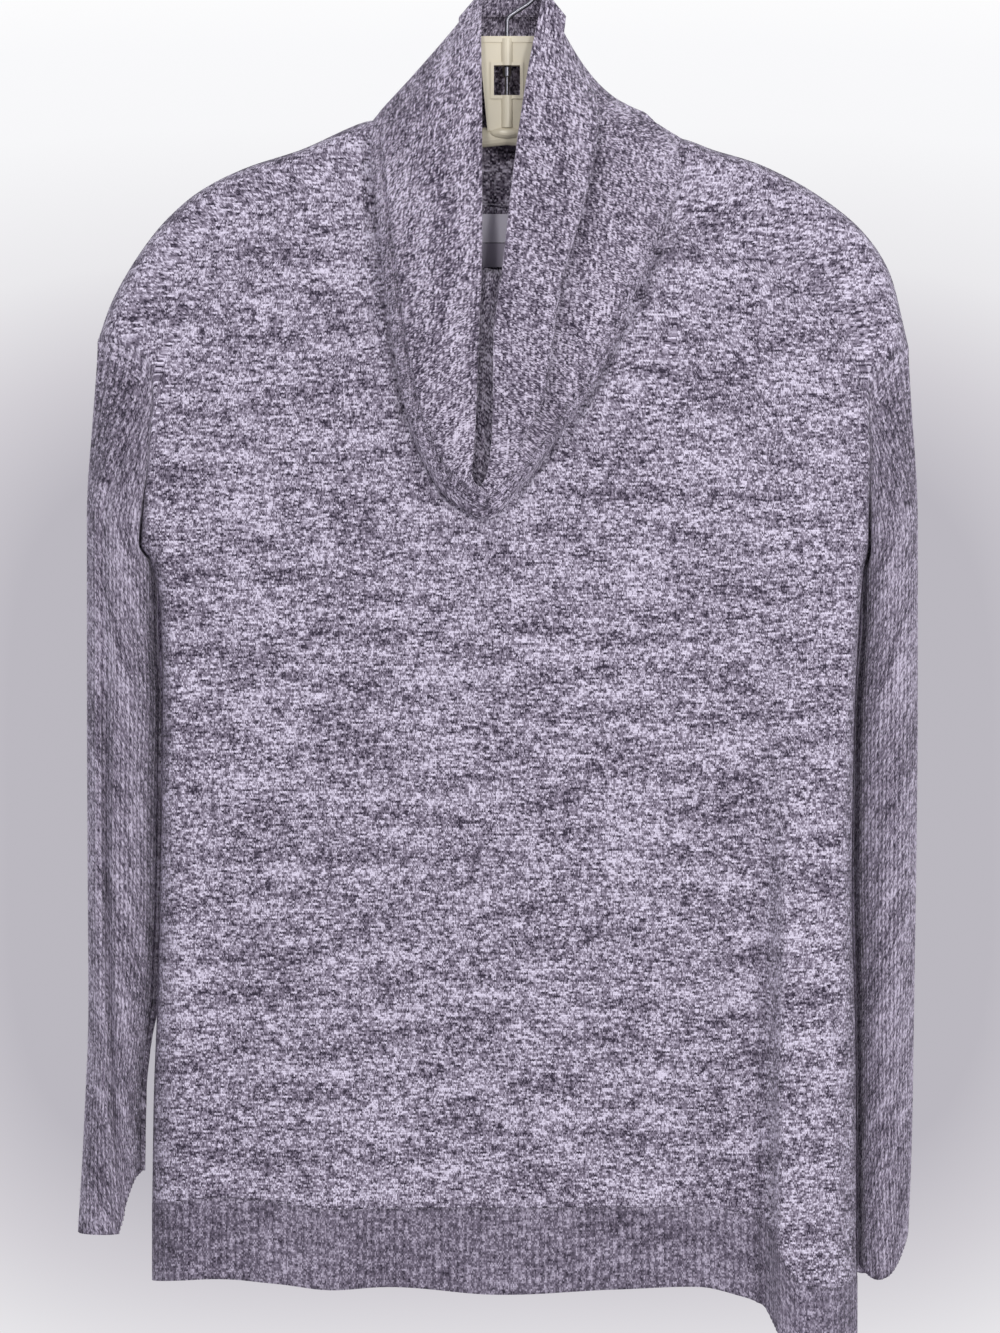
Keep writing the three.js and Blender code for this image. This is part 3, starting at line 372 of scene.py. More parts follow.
class Shader:
    def __init__(self, name):
        self.material = bpy.data.materials.new(name)
        self.material.use_nodes = True
        self.tree = self.material.node_tree
        self.tree.nodes.clear()

    def node(self, kind, settings=None, inputs=None):
        made = self.tree.nodes.new(kind)
        for name, value in (settings or {}).items():
            if name == "stops":
                self.setStops(made.color_ramp, value)
            else:
                setattr(made, name, value)
        for name, value in (inputs or {}).items():
            socket = value.socket if isinstance(value, Number) else value
            if isinstance(socket, bpy.types.NodeSocket):
                self.tree.links.new(socket, made.inputs[name])
            else:
                made.inputs[name].default_value = socket
        return made

    def setStops(self, ramp, stops):
        while len(ramp.elements) < len(stops):
            ramp.elements.new(.5)
        for element, (place, colour) in zip(ramp.elements, stops):
            element.position = place
            element.color = (*colour, 1)

    def maths(self, operation, *terms):
        made = self.node("ShaderNodeMath", {"operation": operation}, dict(enumerate(terms)))
        return Number(self, made.outputs[0])

    def noise(self, x, y, detail=2, rough=.5):
        place = self.node("ShaderNodeCombineXYZ", None, {"X": x, "Y": y})
        made = self.node("ShaderNodeTexNoise", {"noise_dimensions": "2D"}, {
            "Vector": place.outputs[0], "Scale": 1, "Detail": detail, "Roughness": rough})
        return Number(self, made.outputs["Fac"])

    def speckle(self, x, y):
        place = self.node("ShaderNodeCombineXYZ", None, {"X": x, "Y": y})
        made = self.node("ShaderNodeTexWhiteNoise", {"noise_dimensions": "2D"}, {"Vector": place.outputs[0]})
        return Number(self, made.outputs["Value"])

    def ramp(self, value, stops):
        made = self.node("ShaderNodeValToRGB", {"stops": stops}, {"Fac": value})
        return made.outputs["Color"]

    def finish(self, inputs):
        surface = self.node("ShaderNodeBsdfPrincipled", None, inputs)
        self.node("ShaderNodeOutputMaterial", None, {"Surface": surface.outputs[0]})
        return self.material


def linear(colour):  # an sRGB colour of 0 to 255 as Blender's linear one
    return tuple(((c / 255 + .055) / 1.055) ** 2.4 for c in colour)


# The collar, rib and sleeve yarns are darker copies of the jersey's one yarn: that extra darkness is painted
# shade.
knits = {
    "jersey": {"wale": 1.6, "course": 1.25, "gain": 1.45, "run": 1.1, "runLong": 4.6, "patch": .85,
               "patchLong": 9, "patchHigh": 2.5, "speck": .5, "broad": .5, "broadHigh": 13,
               "rib": 0, "ridge": 0, "grooveShade": 0,
               "dark": (50, 42, 59), "middle": (144, 134, 152), "light": (236, 228, 246)},
    "collar": {"wale": 1.6, "course": 1.3, "gain": 1.55, "run": .9, "runLong": 3.2, "patch": .9,
               "patchLong": 5, "patchHigh": 2.8, "speck": .55, "broad": .45, "broadHigh": 20,
               "rib": 0, "ridge": 2.8, "grooveShade": .13,
               "dark": (50, 42, 59), "middle": (134, 124, 142), "light": (226, 217, 235)},
    "rib": {"wale": 1.4, "course": 1.25, "gain": 1.3, "run": .4, "runLong": 2.6, "patch": .8,
            "patchLong": 1, "patchHigh": 4.5, "speck": .5, "broad": .3, "broadHigh": 24,
            "rib": 4.2, "ridge": 0, "grooveShade": .18,
            "dark": (46, 39, 54), "middle": (119, 110, 127), "light": (200, 191, 209)},
    "sleeve": {"wale": 1.4, "course": 1.25, "gain": 1.6, "run": .4, "runLong": 2.6, "patch": .85,
               "patchLong": 1, "patchHigh": 5, "speck": .5, "broad": .5, "broadHigh": 40,
               "rib": 4.2, "ridge": 0, "grooveShade": .28,
               "dark": (48, 41, 56), "middle": (134, 124, 142), "light": (220, 211, 229)},
}


# How the loops lean and stand, and the soft nap over them
stitch = {"lean": .35, "dip": .4, "napSize": .9, "nap": .8, "strength": .55, "deep": .7, "broadLong": 60}


def knitMaterial(name, cut):
    shader = Shader(name)
    place = shader.node("ShaderNodeUVMap", {"uv_map": "knit"})
    apart = shader.node("ShaderNodeSeparateXYZ", None, {"Vector": place.outputs[0]})
    u = Number(shader, apart.outputs["X"]) / metre
    v = Number(shader, apart.outputs["Y"]) / metre
    wale = u / cut["wale"]
    leg = shader.maths("ABSOLUTE", shader.maths("FRACT", wale) - .5) * 2  # 0 mid wale, 1 between
    course = v / cut["course"] + leg * stitch["lean"]
    row = shader.maths("FLOOR", course)
    runs = shader.noise(u / cut["runLong"], row * 5.17, 2, .6)
    if cut["rib"]:
        rib = u / cut["rib"]
        crest = .5 - shader.maths("COSINE", rib * (2 * math.pi)) * .5
        patch = shader.noise(shader.maths("FLOOR", rib) * 7.31, v / cut["patchHigh"], 3, .6)
    else:
        crest = .5 - shader.maths("COSINE", v * (2 * math.pi / cut["ridge"])) * .5 if cut["ridge"] else .5
        patch = shader.noise(u / cut["patchLong"] + 40, v / cut["patchHigh"], 3, .6)
    broad = shader.noise(u / stitch["broadLong"] + 9, v / cut["broadHigh"], 2)
    speck = shader.speckle(shader.maths("FLOOR", wale * 2), row)
    marl = ((runs - .5) * cut["run"] + (patch - .5) * cut["patch"]
            + (speck - .5) * cut["speck"] + (broad - .5) * cut["broad"])
    # The last term darkens the grooves between ribs and ridges: painted shade.
    tone = .5 + marl * cut["gain"] + (crest - .5) * cut["grooveShade"]
    stops = [(0, linear(cut["dark"])), (.5, linear(cut["middle"])), (1, linear(cut["light"]))]
    colour = shader.ramp(tone, stops)
    dip = shader.maths("SINE", course * (2 * math.pi))
    loops = (1 - (leg * 2 - 1) ** 2) * (1 - stitch["dip"] + stitch["dip"] * dip)
    nap = shader.noise(u / stitch["napSize"], v / stitch["napSize"], 3, .7)
    bump = shader.node("ShaderNodeBump", None, {
        "Strength": stitch["strength"], "Distance": stitch["deep"] * metre,
        "Height": loops + nap * stitch["nap"]})
    return shader.finish({
        "Base Color": colour, "Roughness": .95, "Normal": bump.outputs[0], "Specular IOR Level": .15,
        "Sheen Weight": .2, "Sheen Roughness": .6, "Sheen Tint": (.9, .87, .95, 1)})


materials = {name: knitMaterial(name, cut) for name, cut in knits.items()}


grain = {"scale": 60, "strength": .15, "deep": .1}  # the faint unevenness of plain things


def plainMaterial(name, colour, rough=.5, **more):
    shader = Shader(name)
    place = shader.node("ShaderNodeTexCoord")
    noise = shader.node("ShaderNodeTexNoise", None, {
        "Vector": place.outputs["Object"], "Scale": more.get("scale", grain["scale"])})
    bump = shader.node("ShaderNodeBump", None, {
        "Strength": grain["strength"], "Distance": grain["deep"] * metre, "Height": noise.outputs["Fac"]})
    return shader.finish({"Base Color": (*linear(colour), 1), "Roughness": rough, "Normal": bump.outputs[0],
                          "Metallic": more.get("metal", 0)})


# The body panels

def makePanel(side, node, name):
    columns, rows = body[side + "Grid"]
    u = np.linspace(0, 1, columns)[None, :]
    v = np.linspace(0, 1, rows)[:, None]
    u = lerp(u, .5 - .5 * np.cos(np.pi * u), body["crowdAcross"])
    v = lerp(v, .5 - .5 * np.cos(np.pi * v), body["crowdUp"])
    grid = panelSpots(side, u, v)
    u = alongRows(grid, (0, 1))
    level = hems[side]["top"][0] + grid[0, :, 2]
    uv = clothUv(u - u[:, [columns // 2]], upColumns(grid, (1, 2)) + level)
    piece = gridMesh(name, grid, uv, flip=side == "back")
    thicken(piece, body["thick"])
    piece.data.materials.append(materials["jersey"])
    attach(piece, "root")
    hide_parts(node)


makePanel("front", "front_panel", "frontPanel")
makePanel("back", "back_panel", "backPanel")
print("body panels made")

bands = {"ribs": 108, "across": 6, "rows": 16, "rise": .4, "thick": 1.8, "curl": 1.2, "curlPart": .2}


def makeBand(side, node, name):
    fine = panelSpots(side, np.linspace(0, 1, 400), np.zeros(400))
    line = spread(fine, bands["ribs"] * bands["across"] + 1)
    bottom = read(hems[side], "x", line[:, 0], "bottom")
    part = np.linspace(1, 0, bands["rows"])[:, None]
    drop = lerp(-line[None, :, 2], bottom[None, :], part)
    facing = 1 if side == "front" else -1
    curl = bands["curl"] * np.clip(part - 1 + bands["curlPart"], 0, 1) / bands["curlPart"] * facing
    grid = spots(line[None, :, 0], drop, line[None, :, 1] + curl)
    rib = .5 - .5 * np.cos(np.linspace(0, 2 * np.pi * bands["ribs"], grid.shape[1]))
    normals = gridNormals(grid, False) * facing
    grid = grid + normals * (rib * bands["rise"])[None, :, None]
    ribs = np.arange(grid.shape[1]) / bands["across"] * knits["rib"]["rib"]
    piece = gridMesh(name, grid, clothUv(ribs, upColumns(grid)), flip=side == "back")
    thicken(piece, bands["thick"])
    piece.data.materials.append(materials["rib"])
    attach(piece, "root")
    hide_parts(node)


makeBand("front", "front_hem_band", "frontHemBand")
makeBand("back", "back_hem_band", "backHemBand")
print("hem bands made")

# Sleeve rings below the armhole. From a crease down the front the inner side recedes.
sleeves = {
    "left": {
        "along": [1, 2, 3, 4, 5, 6], "outer": [-273.5, -273.5, -273, -272.5, -275, -279],
        "inner": [-229, -226.5, -227, -229.5, -236.5, -237.5], "front": [-29, -31, -32, -31, -30, -29],
        "back": [62, 66, 64, 58, 52, 46], "outerDrop": [432, 500, 600, 690, 765, 838],
        "innerDrop": [444, 500, 598, 680, 745, 798], "creaseX": [-262, -261, -260, -258, -256, -252],
        "recede": [10, 16, 21, 24, 27, 29], "hold": [1, 1, 1, 1, 1, 1], "tuck": [12, 14, 13, 10, 4, 0],
        "groove": [5, 10, 14, 14, 12, 8], "bow": [0, 0, 0, 0, 0, 0],
    },
    "right": {
        "along": [1, 2, 3, 4, 5, 6], "outer": [267.5, 267.5, 266.5, 265, 263.5, 261],
        "inner": [232.5, 228.5, 227, 228.8, 229.6, 230], "front": [-27, -28, -28, -27, -26, -25],
        "back": [64, 66, 62, 56, 50, 44], "outerDrop": [432, 500, 600, 690, 775, 838],
        "innerDrop": [444, 500, 600, 694, 785, 860], "creaseX": [245, 245, 243, 243, 242, 242],
        "recede": [6, 7, 8, 8, 8, 7], "hold": [0, 0, 0, 0, 0, 0], "tuck": [12, 14, 13, 12, 10, 7],
        "groove": [0, 0, 0, 0, 0, 0], "bow": [0, 0, 0, 0, 6, 17],
    },
}
sleeveCut = {"ribs": 54, "across": 6, "head": 26, "length": 72, "rise": .6, "thick": 1.8, "creaseSoft": 1.5,
             "clear": 1.4, "square": (.85, .9), "grooveWide": 3.6, "sideRibs": .5, "samples": 1440,
             "underarm": .765, "frontSoft": 2.5, "tuckFrom": .35, "tuckSoft": .4, "swing": 1.6, "sag": .35,
             "clearBy": .16, "tilt": .05, "ribFrom": .08}
sleeveFolds = {  # where round the ring and along, how far they run, and how deep they are
    "left": [(.2, 1.5, .06, .5, -2), (.33, 2.4, .05, .7, -1.6), (.7, 2.2, .07, .6, -3),
             (.82, 3.6, .06, .8, 2.5), (.62, 4.4, .05, .6, -2.4), (.12, 4.6, .05, .7, -1.4),
             (.75, 5.2, .06, .5, 2)],
    "right": [(.22, 1.4, .06, .5, -1.8), (.3, 3.1, .05, .9, -1.4), (.68, 2.1, .07, .7, -3),
              (.8, 3.4, .06, .8, 2.4), (.64, 4.6, .05, .6, -2.4), (.14, 4.2, .05, .7, -1.4),
              (.74, 5.3, .06, .5, 2)],
}


def sleeveRing(rows, along, count):
    at = {name: float(read(rows, "along", along, name)) for name in rows if name != "along"}
    middle, half = (at["outer"] + at["inner"]) / 2, (at["outer"] - at["inner"]) / 2
    centre, deep = (at["front"] + at["back"]) / 2, (at["back"] - at["front"]) / 2
    angle = np.linspace(0, 2 * np.pi, sleeveCut["samples"] + 1)[:-1]
    c, s = np.cos(angle), np.sin(angle)
    across, through = sleeveCut["square"]
    x = middle + half * np.sign(c) * np.abs(c) ** across
    inward = np.sign(at["inner"] - at["outer"])
    soft = sleeveCut["creaseSoft"]
    past = inward * (x - at["creaseX"]) + soft
    slope = at["recede"] / (inward * (at["inner"] - at["creaseX"]) + soft)
    atFront = ease(s * sleeveCut["frontSoft"])
    sunk = np.where(s > 0, slope * (np.hypot(np.maximum(past, 0), soft) - soft) * atFront, 0)
    groove = at["groove"] * np.exp(-(((x - at["creaseX"]) / sleeveCut["grooveWide"]) ** 2))
    y = centre - deep * np.sign(s) * np.abs(s) ** through + sunk + np.where(s > 0, groove, 0)
    even = (1 - c) / 2
    share = np.sqrt(ease((x - at["creaseX"]) / (at["inner"] - at["creaseX"])))
    share = np.where(s > 0, lerp(even, share, at["hold"] * atFront), even)
    atBack = ease((-s - sleeveCut["tuckFrom"]) / sleeveCut["tuckSoft"])
    x = x + inward * at["tuck"] * atBack  # the back lies behind the body's edge
    drop = lerp(at["outerDrop"], at["innerDrop"], share) + at["bow"] * np.sin(np.pi * even)
    evenly = np.array([1, sleeveCut["sideRibs"], 1])  # fewer ribs go to the sides than to the front
    return spread(spots(x, drop, y) * evenly, count, loop=True) / evenly


def armholeLoop(edge, count):
    at = edgeSpot(edge, np.linspace(1, sleeveCut["underarm"], 121))
    front = spread(spots(at["x"], at["drop"], -at["depth"]), count // 2 + 1)
    back = front[1:-1][::-1] * np.array([1, -1, 1])
    return np.vstack([front, back])


def makeSleeve(side, edge):
    rows = sleeves[side]
    out = 1 if side == "right" else -1
    count = sleeveCut["ribs"] * sleeveCut["across"]
    armhole = armholeLoop(edge, count)
    first = sleeveRing(rows, 1, count)
    bodyEdge = {name: column[::-1] for name, column in edge.items()}
    rings = []
    head = np.linspace(0, 1, sleeveCut["head"] + 1)[:-1]
    tube = np.linspace(1, 6, sleeveCut["length"])
    for t in head:
        swing = ease(min(1, t * sleeveCut["swing"]))
        drop = lerp(t, ease(t), sleeveCut["sag"])
        z = lerp(armhole[:, 2], first[:, 2], drop)
        clear = lerp(.1, sleeveCut["clear"], ease(t / sleeveCut["clearBy"]))
        limit = read(bodyEdge, "drop", -z, "x") * out + clear
        x = out * np.maximum(limit, out * lerp(armhole[:, 0], first[:, 0], swing))
        rings.append(np.stack([x, lerp(armhole[:, 1], first[:, 1], swing), z], axis=1))
    rings += [sleeveRing(rows, along, count) for along in tube]
    grid = np.array(rings)
    places = np.concatenate([head, tube])
    turn = np.arange(count) / count
    normals = gridNormals(grid, True) * out
    lift = np.zeros(grid.shape[:2])
    for where, along, wide, long, deep in sleeveFolds[side]:
        tilt = where + sleeveCut["tilt"] * (places[:, None] - along)
        lift += deep * np.exp(-((turn[None, :] - tilt) / wide) ** 2 - ((places[:, None] - along) / long) ** 2)
    rib = (.5 - .5 * np.cos(turn * 2 * np.pi * sleeveCut["ribs"])) * sleeveCut["rise"]
    lift += rib[None, :] * ease(places[:, None] / sleeveCut["ribFrom"])
    grid = grid + normals * lift[..., None]
    name = side + "Sleeve"
    ribs = np.arange(count + 1) / sleeveCut["across"] * knits["rib"]["rib"]
    uv = clothUv(ribs, upColumns(closeRing(grid)))
    piece = gridMesh(name, grid, uv, loop=True, flip=side == "left")
    thicken(piece, sleeveCut["thick"])
    piece.data.materials.append(materials["sleeve"])
    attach(piece, "root")
    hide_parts("sleeve_" + side)


makeSleeve("left", leftEdge)
makeSleeve("right", rightEdge)
print("sleeves made")

# The cowl: the fold at its foot, its rim, and what lies between
collarFold = ring({
    "around": [0, .06, .12, .16, .2, .26, .32, .38, .43, .47, .5, .53, .58, .63, .69, .75, .8, .84, .88, .94],
    "x": [9, -30, -61, -81, -88, -84.5, -79, -70, -58, -36,
          -11, 12, 36, 58, 80, 99, 113, 90, 74, 46],
    "drop": [122, 117, 111, 107, 134, 174, 224, 284, 325, 357,
             368, 346, 315, 283, 234, 188, 144, 112, 117, 121],
    "y": [20, 18.5, 11.5, 0, -17, -22, -25, -27.5, -29, -30,
          -30.5, -30, -29, -28, -26, -22, -17, 0, 11.5, 18.5],
    "hidden": [0, 0, 0, 0, .15, .7, 1, 1, 1, 1, 1, 1, 1, 1, 1, .7, .15, 0, 0, 0],
})
collarRim = ring({
    "around": [0, .06, .12, .16, .2, .26, .32, .38, .43, .47, .5, .53, .58, .63, .69, .75, .8, .84, .88, .94],
    "x": [5, -3, -11, -17, -17.5, -17, -17, -19.2, -21.5, -23.5,
          -17.5, -11.5, -8.2, -7.8, -1.5, 5.5, 15, 24.5, 20, 13],
    "drop": [26, 27, 29.5, 33, 60, 121, 190, 262, 315, 345,
             354, 343, 308, 262, 208, 145, 80, 32, 28.5, 27],
    "y": [14, 12.5, 7, -2, -15, -24, -31, -36, -39, -41,
          -42, -42, -41, -39, -35, -29, -19, -3, 7, 12.5],
})
collarFace = ring({
    "around": [0, .16, .2, .28, .36, .44, .5, .53, .56, .6, .63, .69, .75, .8, .84, .9],
    "sag": [0, 1, 2, 0, 0, 0, 0, 0, 0, 0, 0, 0, 2, 4, 16, 4],
    "bulge": [3, 0, 3, 5, 5, 4, 1, 1, 2, 3, 3, 4, 4, 3, 0, 3],
    "pleatAt": [.5, .5, .5, .5, .5, .5, .45, .4, .34, .38, .44, .535, .51, .525, .55, .5],
    "pleat": [0, 0, 0, 0, 0, 0, 0, 0, .4, 1, 1, 1, 1, .9, .3, 0],
    "groove": [0, .7, 1, 1, 1, 1, .8, .5, .3, .3, .3, .3, .3, .2, 0, 0],
})
cowl = {
    "columns": 370, "steps": 4, "thick": 1.7, "foldRadius": 5.5, "under": 1.2, "inside": .14,
    "rise": 9, "riseY": 3, "middleX": 8, "middleDrop": 125, "sideDeep": 18, "lapLong": 17,
    "bandIn": 9, "bandRows": (.1, .2, .3, .42, .6, .95), "upperRows": (.3, .6, .85),
    "grooveIn": 8, "grooveDeep": 3.4, "grooveWide": 1.4, "hemTurn": 2.1,
}
# The overlap on the right in millimetres from its edge towards the rim, and up from the layer beneath
overlap = [(-16, 0), (-6, -2.5), (3, -4), (9, -3), (12, -1), (9, 1),
           (3, 2.4), (-2, 5.5), (0, 10.5), (6, 12.4), (15, 11.4)]
# The rim's turned hem: millimetres along the cloth past the rim, and its share of the turn
rimHem = [(0, 0), (1.1, .5), (.9, 1.3), (-1.2, 1.9), (-10, 2), (-20, 2)]


def makeCollar():
    count = cowl["columns"]
    turn = np.arange(count) / count
    spotOf = lambda table: spots(*(read(table, "around", turn, name) for name in ("x", "drop", "y")))
    face = {name: read(collarFace, "around", turn, name)[:, None] for name in collarFace if name != "around"}
    hidden = read(collarFold, "around", turn, "hidden")[:, None]
    seam, fold, rim = spotOf(neckSeam), spotOf(collarFold), spotOf(collarRim)
    outward = np.clip(fold[:, 1:2] / cowl["sideDeep"], -1, 1)
    flat = np.array([1, 0, 1])
    back = np.array([0, 1, 0])
    intoNeck = unit((spots(cowl["middleX"], cowl["middleDrop"], 0) - seam) * flat)
    start = seam - intoNeck * cowl["under"] - back * seam[:, 1:2] * cowl["inside"]
    overSeam = seam + spots(0, -cowl["rise"], -cowl["riseY"])
    over = lerp(lerp(start, fold, .35), overSeam, hidden)
    toRim = unit((rim - fold) * flat)
    radius = cowl["foldRadius"]
    behind = lerp(lerp(over, fold, .6), fold + (toRim + back) * radius * hidden, hidden)
    front = fold + toRim * radius - back * (radius + 1) * hidden
    long = np.linalg.norm(rim - front, axis=1, keepdims=True)

    def onFace(t, up):
        hump = np.sin(np.pi * np.clip(t, 0, 1))
        p = lerp(front, rim, t) + spots(0, 1, 0) * face["sag"] * hump
        off = (t * long + radius - cowl["grooveIn"]) / cowl["grooveWide"]
        groove = np.exp(-(off**2)) * cowl["grooveDeep"] * face["groove"]
        return p + back * outward * (face["bulge"] * hump + up - groove)

    strength, pleatAt = face["pleat"], face["pleatAt"]
    lapPart = cowl["lapLong"] / long
    low = np.clip(lerp(.2, (pleatAt - lapPart) * .9, strength), .02, .3)
    near = np.minimum(low, cowl["bandIn"] / long)
    faceRows = [onFace(near * part, 0) for part in cowl["bandRows"]] + [onFace(low, 0)]
    for (along, up), level in zip(overlap, np.linspace(-1, 1, len(overlap))):
        plain = lerp(pleatAt, low, -level * .8) if level < 0 else lerp(pleatAt, 1, level * .5)
        faceRows.append(onFace(lerp(plain, pleatAt + along / long, strength), up * strength))
    top = overlap[-1][1] * strength
    later = lerp(lerp(pleatAt, 1, .5), pleatAt + lapPart, strength)
    for part in cowl["upperRows"]:
        faceRows.append(onFace(lerp(later, 1, part), top * (1 - .25 * part)))
    rimUp = onFace(np.ones_like(long), top * .75)
    inwardTurn = -back * outward
    lean = unit(rim - fold)
    lip = [rimUp + lean * along + inwardTurn * cowl["hemTurn"] * under for along, under in rimHem]
    grid = smoothPath(np.array([start, over, behind, fold, front, *faceRows, *lip]), cowl["steps"])
    middleRow = grid[len(grid) // 2 : len(grid) // 2 + 1]
    high = upColumns(closeRing(grid))
    atRim = high[[(len(grid) - 1) - (len(lip) - 1) * cowl["steps"]]]
    piece = gridMesh("cowlCollar", grid, clothUv(alongRows(closeRing(middleRow)), high - atRim), loop=True)
    thicken(piece, cowl["thick"])
    piece.data.materials.append(materials["collar"])
    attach(piece, "root")
    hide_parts("collar")


makeCollar()
print("collar made")


# The wire hook: its stem through the plate, the pin's head, the round and the rolled tip
hook = {"wire": 1.5, "ring": 22.3, "arc": (-62, 193), "arcPoints": 30, "stemX": [0, 0, 0, 0, 1.2],
        "stemDrop": [103, 75, 60, 53, 47], "head": 2.9, "headTop": 78.9, "headFoot": 85.5, "tip": 2.3,
        "point": .05, "steps": 10, "points": 420, "sides": 20}


def makeHook():
    arc = np.radians(np.linspace(*hook["arc"], hook["arcPoints"]))
    stem = spots(hook["stemX"], hook["stemDrop"], 0)
    size = hook["ring"]
    bend = spots(size * np.cos(arc), size - hook["wire"] - size * np.sin(arc), 0)
    path = spread(smoothPath(np.vstack([stem, bend]), hook["steps"]), hook["points"])
    reach = np.concatenate([[0], np.cumsum(np.linalg.norm(np.diff(path, axis=0), axis=1))])
    radius = np.full(len(reach), float(hook["wire"]))
    foot = hook["stemDrop"][0]
    onHead = (reach > foot - hook["headFoot"]) & (reach < foot - hook["headTop"])
    radius[onHead] = hook["head"]
    fromTip = reach[-1] - reach
    ball = np.sqrt(np.maximum(0, hook["tip"] ** 2 - (fromTip - hook["tip"]) ** 2))
    radius = np.where(fromTip < hook["tip"], ball, np.maximum(radius, ball))
    radius[0] = hook["point"]
    ahead = unit(np.gradient(path, axis=0))
    aside = np.cross([0, 1, 0], ahead)
    angle = np.linspace(0, 2 * np.pi, hook["sides"] + 1)[:-1]
    spoke = np.cos(angle)[None, :, None] * aside[:, None] + np.sin(angle)[None, :, None] * np.array([0, 1, 0])
    grid = path[:, None] + spoke * radius[:, None, None]
    closed = closeRing(grid)
    piece = gridMesh("wireHook", grid, clothUv(alongRows(closed), upColumns(closed)), loop=True)
    piece.data.materials.append(plainMaterial("hookSteel", (118, 117, 124), .3, metal=1, scale=900))
    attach(piece, "root")
    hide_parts("hook")


# Small things repeated by Geometry Nodes and joined into plain meshes

def nodeTree(name, settings):
    tree = bpy.data.node_groups.new(name, "GeometryNodeTree")
    tree.interface.new_socket("Geometry", in_out="INPUT", socket_type="NodeSocketGeometry")
    for label, kind in settings.items():
        tree.interface.new_socket(label, in_out="INPUT", socket_type="NodeSocket" + kind)
    tree.interface.new_socket("Geometry", in_out="OUTPUT", socket_type="NodeSocketGeometry")
    return tree, tree.nodes.new("NodeGroupInput"), tree.nodes.new("NodeGroupOutput")


def addNode(tree, kind, settings=None, inputs=None):
    made = tree.nodes.new(kind)
    for name, value in (settings or {}).items():
        setattr(made, name, value)
    for name, value in (inputs or {}).items():
        if isinstance(value, bpy.types.NodeSocket):
            tree.links.new(value, made.inputs[name])
        else:
            made.inputs[name].default_value = value
    return made


def makeTrees():
    common = {"Thick": "Float", "Long": "Float", "Material": "Material"}
    sewing, given, end = nodeTree("sewing", {"Spacing": "Float", **common})
    curve = addNode(sewing, "GeometryNodeMeshToCurve", None, {"Mesh": given.outputs["Geometry"]})
    points = addNode(sewing, "GeometryNodeCurveToPoints", {"mode": "LENGTH"}, {
        "Curve": curve.outputs[0], "Length": given.outputs["Spacing"]})
    ball = addNode(sewing, "GeometryNodeMeshUVSphere", None, {"Segments": 6, "Rings": 4, "Radius": 1})
    scale = addNode(sewing, "ShaderNodeCombineXYZ", None, {
        "X": given.outputs["Thick"], "Y": given.outputs["Thick"], "Z": given.outputs["Long"]})
    placed = addNode(sewing, "GeometryNodeInstanceOnPoints", None, {
        "Points": points.outputs["Points"], "Instance": ball.outputs[0],
        "Rotation": points.outputs["Rotation"], "Scale": scale.outputs[0]})
    fuzz, start, finish = nodeTree("fuzz", {"Density": "Float", "Seed": "Int", **common})
    scatter = addNode(fuzz, "GeometryNodeDistributePointsOnFaces", None, {
        "Mesh": start.outputs["Geometry"], "Density": start.outputs["Density"],
        "Seed": start.outputs["Seed"]})
    hair = addNode(fuzz, "GeometryNodeMeshCone", {"fill_type": "NONE"}, {
        "Vertices": 3, "Radius Top": 0, "Radius Bottom": start.outputs["Thick"],
        "Depth": start.outputs["Long"]})
    stood = addNode(fuzz, "GeometryNodeInstanceOnPoints", None, {
        "Points": scatter.outputs["Points"], "Instance": hair.outputs[0],
        "Rotation": scatter.outputs["Rotation"]})
    lean = addNode(fuzz, "FunctionNodeRandomValue", {"data_type": "FLOAT_VECTOR"}, {
        0: (-1.3, -1.3, 0), 1: (1.3, 1.3, 6.28), "Seed": start.outputs["Seed"]})
    leant = addNode(fuzz, "GeometryNodeRotateInstances", None, {
        "Instances": stood.outputs[0], "Rotation": lean.outputs[0]})
    for tree, instances, source, output in ((sewing, placed, given, end), (fuzz, leant, start, finish)):
        real = addNode(tree, "GeometryNodeRealizeInstances", None, {"Geometry": instances.outputs[0]})
        dyed = addNode(tree, "GeometryNodeSetMaterial", None, {
            "Geometry": real.outputs[0], "Material": source.outputs["Material"]})
        tree.links.new(dyed.outputs[0], output.inputs[0])
    return {"sewing": sewing, "fuzz": fuzz}


trees = makeTrees()


def repeatOver(name, mesh, tree, values):  # runs a tree on a mesh and keeps what it makes
    source = bpy.data.objects.new(name + "Source", mesh)
    bpy.context.scene.collection.objects.link(source)
    repeat = source.modifiers.new("repeat", "NODES")
    repeat.node_group = trees[tree]
    for socket in trees[tree].interface.items_tree:
        if socket.name in values:
            repeat[socket.identifier] = values[socket.name]
    graph = bpy.context.evaluated_depsgraph_get()
    made = bpy.data.meshes.new_from_object(source.evaluated_get(graph), depsgraph=graph)
    bpy.data.objects.remove(source)
    piece = bpy.data.objects.new(name, made)
    bpy.context.scene.collection.objects.link(piece)
    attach(piece, "root")
    return piece


sewn = {"spacing": 2.4, "thick": .22, "long": .85, "proud": .25, "hemV": .004, "hemEnds": (.01, .99),
        "armU": .006, "armEnds": (.775, .99), "points": 260}


def lineMesh(name, lines):
    mesh = bpy.data.meshes.new(name)
    points = np.concatenate(lines) * metre
    starts = np.cumsum([0] + [len(line) for line in lines[:-1]])
    edges = [(int(s) + k, int(s) + k + 1) for s, line in zip(starts, lines) for k in range(len(line) - 1)]
    mesh.from_pydata(points.tolist(), edges, [])
    return mesh


